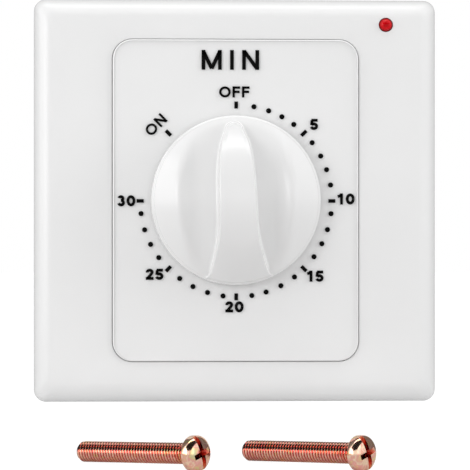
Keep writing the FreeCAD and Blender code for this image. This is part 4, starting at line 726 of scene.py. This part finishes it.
def build_knob():
    """Domed knob with two finger hollows and a pointed grip, drawn as rings from the rim to the grip."""
    rim, grip = knob_outlines()
    normals = outward(grip)
    on_foot = [math.hypot(*point) > KNOB_RADIUS - 0.1 for point in grip]
    bm = bmesh.new()
    first, ring = knob_edge(bm, rim, on_foot)
    inner_rim = KNOB_RADIUS - KNOB_DRAFT - RIM_ROUND
    edge_points = [(x * inner_rim, y * inner_rim) for x, y in rim]
    points = [edge if flat else side for edge, side, flat in zip(edge_points, grip, on_foot)]
    walls = grip_walls(points, on_foot)

    # Where the hollow's floor meets the wall's foot round
    starts = []
    for (x, y), (nx, ny), (tall, foot_round, _), edge in zip(points, normals, walls, edge_points):
        out = (GRIP_DRAFT + foot_round) * min(tall / 2, 1)
        start = (x + nx * out, y + ny * out)
        starts.append(edge if math.hypot(*start) > inner_rim else start)
    for lane in range(1, LANES + 1):
        share = lane / LANES
        share = share * share * (3 - 2 * share)
        positions = []
        for (ex, ey), (sx, sy), flat in zip(edge_points, starts, on_foot):
            x, y = ex + (sx - ex) * share, ey + (sy - ey) * share
            positions.append((x, y, dome(x, y) if flat else floor_height(x, y)))
        ring = grow(bm, ring, positions)
    for angle in quarter(5)[1:]:
        ring = grow(bm, ring, wall_ring(points, starts, normals, walls, on_foot, angle, at_top=False))
    for angle in quarter(5):
        ring = grow(bm, ring, wall_ring(points, starts, normals, walls, on_foot, angle, at_top=True))

    # The grip's top closes on a line along its middle
    inner = [(v.co.x, v.co.y) for v in ring]
    for step in range(1, TOP_STEPS + 1):
        share = step / TOP_STEPS
        positions = []
        for x, y in inner:
            mid = min(max(y, SPINE_FOOT), SPINE_TIP)
            px, py = x * (1 - share), y + (mid - y) * share
            positions.append((px, py, dome(px, py)))
        ring = grow(bm, ring, positions)
    bmesh.ops.remove_doubles(bm, verts=bm.verts, dist=KNOB_WELD)

    # Inside: the rim's wall, a roof and the hub with its bore
    inside = [
        (KNOB_RADIUS - RIM_WALL, 0), (KNOB_RADIUS - RIM_WALL - 0.05, ROOF_FOOT), (HUB_RADIUS, ROOF),
        (HUB_RADIUS, HUB_FOOT), (BORE_RADIUS, HUB_FOOT), (BORE_RADIUS, BORE_TOP), (BORE_END, BORE_TOP),
    ]
    ring = first
    for radius, height in inside:
        ring = grow(bm, ring, [(x * radius, y * radius, height) for x, y in rim])
    close(bm, ring)
    bmesh.ops.recalc_face_normals(bm, faces=bm.faces)
    lean = Matrix.Rotation(math.radians(GRIP_LEAN), 4, "Z")
    matrix = Matrix.Translation((0, RIM_FOOT, 0)) @ TO_THE_ROOM @ lean @ Matrix.Scale(MM, 4)
    bmesh.ops.transform(bm, matrix=matrix, verts=bm.verts)
    finished("knob_moulding", bm, KNOB_WHITE, "knob_and_main_arbor", "knob", slot="white_plastic")


def build_lamp():
    """A 3 mm lamp: red dome on its barrel."""
    tip = lamp_lo.y
    profile = []
    for angle in quarter(10):
        profile.append((LAMP_RADIUS * math.sin(angle), tip + LAMP_RADIUS * (1 - math.cos(angle))))
    profile += [(LAMP_RADIUS, lamp_hi.y), (0, lamp_hi.y)]
    bm = bmesh.new()
    spun(bm, profile, 40, TOUCHING)
    # The profile's heights run away from the room, so z becomes y
    turn = Matrix(((1, 0, 0, 0), (0, 0, 1, 0), (0, 1, 0, 0), (0, 0, 0, 1)))
    matrix = Matrix.Translation((LAMP_MIDDLE.x, 0, LAMP_MIDDLE.z)) @ turn
    bmesh.ops.transform(bm, matrix=matrix, verts=bm.verts)
    bmesh.ops.recalc_face_normals(bm, faces=bm.faces)
    finished("red_lamp", bm, RED, "timer_body", "indicator_lamp", slot="red_lens")


# Print on the panel, in millimetres on the dial
INK_THICK = 0.02 * MM
DIAL_RADIUS = 20.35
DIAL_CENTRE = (0.08, -0.13)
DOT_BEARINGS = [
    10.7, 19.8, 28.5, 37.0, 52.5, 62.0, 70.9, 80.4, 97.6, 107.4, 116.5, 125.6,
    142.5, 152.2, 161.8, 170.6, 187.9, 197.4, 206.8, 216.1, 233.8, 243.1, 252.5, 262.4,
]
TICK_LONG = 1.5
TICK_WIDE = 0.77
DOT = 1.1
DIGITS = 2.36
NUMBER_PEN = 0.26
NUMBER_GAP = 0.14
LABELS = [
    ("5", 16.62, 16.15), ("10", 23.4, 0.3), ("15", 16.85, -16.1), ("20", -0.28, -22.6),
    ("25", -17.22, -15.68), ("30", -23.2, -0.11),
]
# Words: text, middle, height, pen and gap as shares of the height, and turn in degrees
SWITCH_WORDS = [("OFF", -0.3, 23.0, DIGITS, 0.215, 0.16, 0), ("ON", -17.0, 15.95, DIGITS, 0.205, 0.19, 45)]
HEADING = [("MIN", -1.15, 29.8, 4.2, 0.19, 0.42, 0)]


def print_mesh(bm, name):
    """Stand flat print up in front of the panel, its x and y as x and z, and give it a thickness."""
    matrix = Matrix.Translation((0, PANEL_FACE - INK_THICK, 0)) @ TO_THE_ROOM @ Matrix.Scale(MM, 4)
    bmesh.ops.transform(bm, matrix=matrix, verts=bm.verts)
    made = bmesh.ops.extrude_face_region(bm, geom=bm.faces[:])
    moved = [g for g in made["geom"] if isinstance(g, bmesh.types.BMVert)]
    bmesh.ops.translate(bm, vec=(0, INK_THICK * 0.9, 0), verts=moved)
    bmesh.ops.recalc_face_normals(bm, faces=bm.faces)
    finished(name, bm, INK, "timer_body", slot="black_acetal")


def arc(middle, reach, first, last, steps=18):
    """Points of an oval arc between two bearings in degrees."""
    turns = [math.radians(first + (last - first) * step / steps) for step in range(steps + 1)]
    return [(middle[0] + reach[0] * math.cos(t), middle[1] + reach[1] * math.sin(t)) for t in turns]


def stem(x):
    """An upright line of the full height."""
    return [(x, 0), (x, 1)]


def pen_lines(sign, pen):
    """Width of a figure or capital one unit high, and the middle lines that a pen follows to draw it."""
    half = pen / 2
    top, waist = 1 - half, 0.53
    if sign == "0":
        return 0.8, [arc((0.4, 0.5), (0.4 - half, 0.5 - half), 0, 360, 36)]
    if sign == "1":
        return 0.66, [stem(0.54 - half), [(0.06, 0.72), (0.27, 0.77), (0.54 - half, 0.94)]]
    if sign == "2":
        bowl = arc((0.35, 0.69), (0.35 - half, top - 0.69), 190, -35)
        return 0.7, [bowl + [(half * 1.3, half)], [(0, half), (0.7, half)]]
    if sign == "3":
        upper = arc((0.33, (top + waist) / 2), (0.31 - half, (top - waist) / 2), 165, -90)
        lower = arc((0.34, (waist + half) / 2), (0.35 - half, (waist - half) / 2), 90, -168)
        return 0.69, [upper, lower]
    if sign == "5":
        bowl = arc((0.36, 0.33), (0.38 - half, 0.34 - half), 145, -165)
        return 0.74, [[(0.14, top), (0.7, top)], [(0.19, top), (0.15, 0.44)], bowl]
    if sign == "O":
        return 1.04, [arc((0.52, 0.5), (0.52 - half, 0.5 - half), 0, 360, 40)]
    if sign == "F":
        return 0.69, [stem(half), [(0, top), (0.69, top)], [(0, 0.51), (0.64, 0.51)]]
    if sign == "N":
        right = 0.86 - half
        return 0.86, [stem(half), stem(right), [(half, 0.96), (right, 0.04)]]
    if sign == "M":
        right = 1.02 - half
        slants = [[(half, 0.94), (0.51, 0.06)], [(right, 0.94), (0.51, 0.06)]]
        return 1.02, [stem(half), stem(right)] + slants
    return pen, [stem(half)]


def draw_line(bm, points, pen):
    """Extrude an edge as wide as the pen along a line of points."""
    sides = []
    for index, (x, y) in enumerate(points):
        before, after = points[max(index - 1, 0)], points[min(index + 1, len(points) - 1)]
        if points[0] == points[-1] and index in (0, len(points) - 1):
            before, after = points[-2], points[1]
        dx, dy = after[0] - before[0], after[1] - before[1]
        reach = pen / 2 / math.hypot(dx, dy)
        sides.append(((x - dy * reach, y + dx * reach, 0), (x + dy * reach, y - dx * reach, 0)))
    ends = [bm.verts.new(where) for where in sides[0]]
    edge = bm.edges.new(ends)
    for pair in sides[1:]:
        made = bmesh.ops.extrude_edge_only(bm, edges=[edge])
        fresh = {g for g in made["geom"] if isinstance(g, bmesh.types.BMVert)}
        ends = [next(e.other_vert(v) for e in v.link_edges if e.other_vert(v) in fresh) for v in ends]
        for vert, where in zip(ends, pair):
            vert.co = where
        edge = bm.edges.get(ends)


def write(bm, text, x, y, height, pen, gap, turn):
    """Draw figures or capitals centred on x, y; pen and gap are shares of their height."""
    line = bmesh.new()
    cursor = -gap
    for sign in text:
        cursor += gap
        wide, strokes = pen_lines(sign, pen)
        for points in strokes:
            draw_line(line, [(px + cursor, py) for px, py in points], pen)
        cursor += wide
    matrix = (
        Matrix.Translation((x, y, 0)) @ Matrix.Rotation(math.radians(turn), 4, "Z")
        @ Matrix.Scale(height, 4) @ Matrix.Translation((-cursor / 2, -0.5, 0))
    )
    join_mesh(bm, line, matrix)


def build_print():
    """A tick at every number and switch word, four dots in each five minutes, the numbers, the words."""
    def on_ring(bearing):
        turn = Matrix.Rotation(math.radians(-bearing), 4, "Z")
        return Matrix.Translation((*DIAL_CENTRE, 0)) @ turn @ Matrix.Translation((0, DIAL_RADIUS, 0))

    marks = bmesh.new()
    tick = Matrix.Diagonal((TICK_WIDE, TICK_LONG, 1, 1))
    for bearing in range(0, 360, 45):
        bmesh.ops.create_grid(marks, x_segments=1, y_segments=1, size=0.5, matrix=on_ring(bearing) @ tick)
    for bearing in DOT_BEARINGS:
        bmesh.ops.create_circle(marks, cap_ends=True, segments=20, radius=DOT / 2, matrix=on_ring(bearing))
    print_mesh(marks, "dial_marks")
    numbers = [(text, x, y, DIGITS, NUMBER_PEN, NUMBER_GAP, 0) for text, x, y in LABELS]
    prints = {"dial_numbers": numbers, "switch_words": SWITCH_WORDS, "dial_heading": HEADING}
    for name, words in prints.items():
        bm = bmesh.new()
        for word in words:
            write(bm, *word)
        print_mesh(bm, name)


# Loose screws: M4, millimetres. Each has its own middle and its own turn from the plate, in degrees, so
# that its ends fall on those in the photograph
THREAD_MAJOR = 2.0
THREAD_DEPTH = 0.43
THREAD_PITCH = 0.7
THREAD_FLAT = 0.08
THREAD_STEPS = 36
SCREW_WELD = 0.005
HEAD_WELD = 0.002
SCREW_LENGTH = 28.0
HEAD_RADIUS = 3.4
HEAD_HEIGHT = 2.6
HEAD_EDGE = 0.9
HEAD_SOFT = 0.25
HEAD_CURVE = 0.75
RECESS_WIDTH = 1.0
SLOT_LONG = 8.0
SLOT_DEEP = 1.25
CROSS_DEEP = 1.9
CROSS_HIGH = 4.4
CROSS_WIDE = 4.0
CROSS_ARM = 0.98
CROSS_AT_FOOT = 0.55
SLOT_AT_FOOT = 0.9
RECESS_AT_TOP = 1.12
CUTTER_OUT = 0.5
SCREW_ROLL = 108.0
SCREW_FRONT = 55.0
SCREW_DOWN = 48.7
SCREWS_AT = {"left_wall_screw": (-20.7, 41.5), "right_wall_screw": (10.8, 45.3)}


def thread():
    """One turn of the thread's profile swept in a helix, cut square at both ends."""
    bm = bmesh.new()
    root = THREAD_MAJOR - THREAD_DEPTH
    half = THREAD_PITCH / 2
    turns = int(SCREW_LENGTH / THREAD_PITCH) + 4
    tip = -SCREW_LENGTH / 2
    start = tip - 2 * THREAD_PITCH
    crest = THREAD_FLAT / 2
    profile = [
        (root, 0), (root, THREAD_FLAT), (THREAD_MAJOR, half - crest), (THREAD_MAJOR, half + crest),
        (root, THREAD_PITCH),
    ]
    verts = [bm.verts.new((radius, 0, start + z)) for radius, z in profile]
    edges = [bm.edges.new(pair) for pair in zip(verts, verts[1:])]
    bmesh.ops.spin(
        bm, geom=verts + edges, cent=(0, 0, 0), axis=(0, 0, 1), dvec=(0, 0, THREAD_PITCH / THREAD_STEPS),
        angle=math.tau * turns, steps=THREAD_STEPS * turns,
    )
    bmesh.ops.remove_doubles(bm, verts=bm.verts, dist=SCREW_WELD)
    for height, outside in ((tip, -1), (SCREW_LENGTH / 2 + 0.1, 1)):
        made = bmesh.ops.bisect_plane(
            bm, geom=bm.verts[:] + bm.edges[:] + bm.faces[:], plane_co=(0, 0, height),
            plane_no=(0, 0, outside), clear_outer=True,
        )
        cut = [g for g in made["geom_cut"] if isinstance(g, bmesh.types.BMEdge)]
        bmesh.ops.contextual_create(bm, geom=cut)
    # The tip is turned down to a short cone
    for vert in bm.verts:
        reach = math.hypot(vert.co.x, vert.co.y)
        allowed = root + 0.1 + (vert.co.z - tip) * 0.7
        if reach > allowed:
            vert.co.x *= allowed / reach
            vert.co.y *= allowed / reach
    return bm


def screw_head():
    """Pan head by a full spin: straight side, round shoulder and a nearly flat face."""
    base = SCREW_LENGTH / 2
    crown = HEAD_HEIGHT - HEAD_EDGE
    profile = [(0, base)]
    for angle in quarter(4):
        inset = HEAD_SOFT * (1 - math.sin(angle))
        profile.append((HEAD_RADIUS - inset, base + HEAD_SOFT * (1 - math.cos(angle))))
    for angle in quarter(16):
        reach, rise = math.cos(angle) ** HEAD_CURVE, math.sin(angle) ** HEAD_CURVE
        profile.append((HEAD_RADIUS * reach, base + HEAD_EDGE + crown * rise))
    bm = bmesh.new()
    spun(bm, profile, 48, HEAD_WELD)
    bmesh.ops.recalc_face_normals(bm, faces=bm.faces)
    return bm


def recess_cutters():
    """The slot right across the head and the deeper arms of the cross, each narrower at its foot."""
    top = SCREW_LENGTH / 2 + HEAD_HEIGHT
    cutters = []
    sizes = (
        (SLOT_LONG, RECESS_WIDTH, SLOT_DEEP),
        (RECESS_WIDTH, CROSS_HIGH, CROSS_DEEP),
        (CROSS_WIDE, CROSS_ARM, CROSS_DEEP),
    )
    for width, length, depth in sizes:
        cross = depth == CROSS_DEEP
        bm = bmesh.new()
        made = bmesh.ops.create_cube(bm, size=1)
        for vert in made["verts"]:
            low = vert.co.z < 0
            taper = RECESS_AT_TOP
            if low:
                taper = CROSS_AT_FOOT if cross else SLOT_AT_FOOT
            vert.co.x *= width * (taper if cross else 1)
            vert.co.y *= length * taper
            vert.co.z = top - depth if low else top + CUTTER_OUT
        cutters.append(bm)
    return cutters


def thread_shade_depth(x, y, z):
    """How deep a point of the screw lies, which sets its painted shade: nothing on crests and head, one at
    the bottom of a valley and deep in the recess.
    """
    reach = math.hypot(x, y)
    if z < SCREW_LENGTH / 2 - 0.05:
        depth = (THREAD_MAJOR - reach) / THREAD_DEPTH
    elif z > SCREW_LENGTH / 2 and reach < HEAD_RADIUS - 0.3:
        depth = SCREW_LENGTH / 2 + HEAD_HEIGHT - 0.5 - z - reach * reach / 10
    else:
        depth = 0.0
    return min(max(depth, 0), 1)


def build_screws():
    """The two yellow passivated wall screws, lying in front of the plate as in the photograph."""
    tilt = math.asin((HEAD_RADIUS - THREAD_MAJOR) / SCREW_LENGTH)
    for name, (x, degrees) in SCREWS_AT.items():
        yaw = math.radians(degrees)
        aim = Vector((math.cos(yaw) * math.cos(tilt), -math.sin(yaw) * math.cos(tilt), math.sin(tilt)))
        turn = aim.to_track_quat("Z", "Y").to_matrix().to_4x4()
        roll = Matrix.Rotation(math.radians(SCREW_ROLL), 4, "Z")
        where = Matrix.Translation((x * MM, -SCREW_FRONT * MM, -SCREW_DOWN * MM))
        screw = finished(name, screw_head(), ZINC_YELLOW, "timer_body", slot="yellow_passivated_zinc")
        for cutter in recess_cutters():
            carve(screw, cutter)
        whole = bmesh.new()
        whole.from_mesh(screw.data)
        join_mesh(whole, thread())
        # Depth of each point, which sets the painted shade in the thread and the recess
        layer = whole.verts.layers.float.new("valley")
        for vert in whole.verts:
            vert[layer] = thread_shade_depth(*vert.co)
        bmesh.ops.transform(whole, matrix=where @ turn @ roll @ Matrix.Scale(MM, 4), verts=whole.verts)
        soften(whole)
        whole.to_mesh(screw.data)
        whole.free()
    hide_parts("wall_screws")


# Softboxes: place in metres, size, power in watts
SOFTBOXES = [
    ("overhead_softbox", (0.0, -0.12, 0.50), (0.56, 0.17), 0.68),
    ("left_softbox", (-0.70, -0.65, 0.05), (0.45, 0.9), 4.05),
    ("right_softbox", (0.70, -0.65, 0.05), (0.45, 0.9), 0.75),
    ("left_edge_strip", (-0.90, -0.25, 0.15), (0.3, 0.9), 1.6),
    ("right_edge_strip", (0.90, -0.25, 0.15), (0.3, 0.9), 3.5),
]
# The even light from all round
FILL = 0.63
# The floor: half its side, its grey, how much of it shines white for the camera, and how strongly
FLOOR_HALF = 2.0
FLOOR_GREY = 0.79
FLOOR_SHINE = 0.82
FLOOR_WHITE = 1.16
# A grey sheet round the timer, just behind it: place, half width of its window, half width, grey
BACKDROP = 0.036
BACKDROP_WINDOW = 0.055
BACKDROP_HALF = 1.5
BACKDROP_GREY = 0.2
# A dark card over the table that only reflections see: height, far and near edge, width, grey
CARD_UP = 0.10
CARD_FAR = -0.45
CARD_NEAR = -0.095
CARD_WIDE = 0.5
CARD_GREY = 0.02
CLIP_START = 0.01


def sheet(name, bm, material_name):
    """A flat thing of the set, with an empty material to fill."""
    mesh = bpy.data.meshes.new(name)
    bm.to_mesh(mesh)
    bm.free()
    thing = bpy.data.objects.new(name, mesh)
    bpy.context.collection.objects.link(thing)
    material = bpy.data.materials.new(material_name)
    material.use_nodes = True
    material.node_tree.nodes.clear()
    mesh.materials.append(material)
    return thing, material.node_tree


def seen_by(tree, *kinds):
    """One for a ray of any of these kinds, nothing for every other ray."""
    path = add(tree, "ShaderNodeLightPath")
    seen = path.outputs[kinds[0]]
    for kind in kinds[1:]:
        either = add(tree, "ShaderNodeMath", {"operation": "MAXIMUM"}, _0=seen, _1=path.outputs[kind])
        seen = either.outputs[0]
    return seen


def build_world():
    """White to the eye, to reflections and through clear things, and an even fill for the rest."""
    world = bpy.data.worlds.new("studio")
    bpy.context.scene.world = world
    world.use_nodes = True
    tree = world.node_tree
    tree.nodes.clear()
    seen = seen_by(tree, "Is Camera Ray", "Is Transmission Ray", "Is Glossy Ray")
    fill = add(tree, "ShaderNodeBackground", Color=(1, 1, 1, 1), Strength=FILL)
    white = add(tree, "ShaderNodeBackground", Color=(1, 1, 1, 1), Strength=1.0)
    mix = add(tree, "ShaderNodeMixShader", _0=seen, _1=fill.outputs[0], _2=white.outputs[0])
    add(tree, "ShaderNodeOutputWorld", Surface=mix.outputs[0])


def build_floor():
    """The pale floor that the screws lie on, almost white to the camera."""
    bm = bmesh.new()
    bmesh.ops.create_grid(bm, x_segments=1, y_segments=1, size=FLOOR_HALF)
    bmesh.ops.translate(bm, vec=(0, 0, floor_level), verts=bm.verts)
    floor, tree = sheet("floor", bm, "pale_floor")
    seen = seen_by(tree, "Is Camera Ray", "Is Transmission Ray")
    matt = add(tree, "ShaderNodeBsdfDiffuse", Color=(FLOOR_GREY, FLOOR_GREY, FLOOR_GREY, 1))
    bright = add(tree, "ShaderNodeEmission", Color=(1, 1, 1, 1), Strength=FLOOR_WHITE)
    share = add(tree, "ShaderNodeMath", {"operation": "MULTIPLY"}, _0=seen, _1=FLOOR_SHINE)
    mix = add(tree, "ShaderNodeMixShader", _0=share.outputs[0], _1=matt.outputs[0], _2=bright.outputs[0])
    add(tree, "ShaderNodeOutputMaterial", Surface=mix.outputs[0])


def hidden_card(name, bm, grey, lights_surfaces):
    """A sheet of even grey that reflections see, and surfaces if it lights them, but not the camera."""
    card, tree = sheet(name, bm, name + "_paper")
    paper = add(tree, "ShaderNodeEmission", Color=(1, 1, 1, 1), Strength=grey)
    add(tree, "ShaderNodeOutputMaterial", Surface=paper.outputs[0])
    card.visible_camera = False
    card.visible_diffuse = lights_surfaces
    card.visible_shadow = False
    card.visible_transmission = False


def build_cards():
    """The grey sheet behind the timer and the dark card over the table."""
    backdrop = bmesh.new()
    window = first_ring(backdrop, rounded(BACKDROP_WINDOW, BACKDROP_WINDOW, PANEL_CORNER, BACKDROP))
    grow(backdrop, window, rounded(BACKDROP_HALF, BACKDROP_HALF, PANEL_CORNER, BACKDROP))
    hidden_card("grey_backdrop", backdrop, BACKDROP_GREY, True)
    card = bmesh.new()
    middle = Matrix.Translation((0, (CARD_FAR + CARD_NEAR) / 2, CARD_UP))
    sides = Matrix.Diagonal((CARD_WIDE, CARD_NEAR - CARD_FAR, 1, 1))
    bmesh.ops.create_grid(card, x_segments=1, y_segments=1, size=0.5, matrix=middle @ sides)
    hidden_card("dark_card", card, CARD_GREY, False)


def build_lights():
    """The softboxes, all aimed at the middle of the plate."""
    for name, where, size, power in SOFTBOXES:
        light = bpy.data.lights.new(name, "AREA")
        light.shape = "RECTANGLE"
        light.size, light.size_y = size
        light.energy = power
        holder = bpy.data.objects.new(name, light)
        holder.location = where
        holder.rotation_euler = (-Vector(where)).to_track_quat("-Z", "Y").to_euler()
        holder.visible_glossy = name != "right_edge_strip"
        bpy.context.collection.objects.link(holder)


def build_camera():
    """The camera of the photograph, a little to the left of the timer, with the Standard view."""
    scene = bpy.context.scene
    scene.view_settings.view_transform = "Standard"
    camera = bpy.data.cameras.new("camera")
    holder = bpy.data.objects.new("camera", camera)
    bpy.context.collection.objects.link(holder)
    camera.sensor_width = SENSOR
    camera.lens = SENSOR * (CAMERA_DISTANCE + EDGE_ROUND) / (PHOTO_SIZE * PIXEL)
    camera.clip_start = CLIP_START
    target = Vector((PHOTO_CENTRE_X * PIXEL, PLATE_FACE, -PHOTO_CENTRE_Y * PIXEL))
    back = Vector((math.sin(CAMERA_AZIMUTH), -math.cos(CAMERA_AZIMUTH), 0))
    holder.location = target + back * CAMERA_DISTANCE
    holder.rotation_euler = (-back).to_track_quat("-Z", "Y").to_euler()
    scene.camera = holder


build_world()
build_floor()
build_cards()
build_lights()
build_camera()
dress_frame()
build_surround()
build_panel()
build_knob()
build_lamp()
build_print()
build_screws()
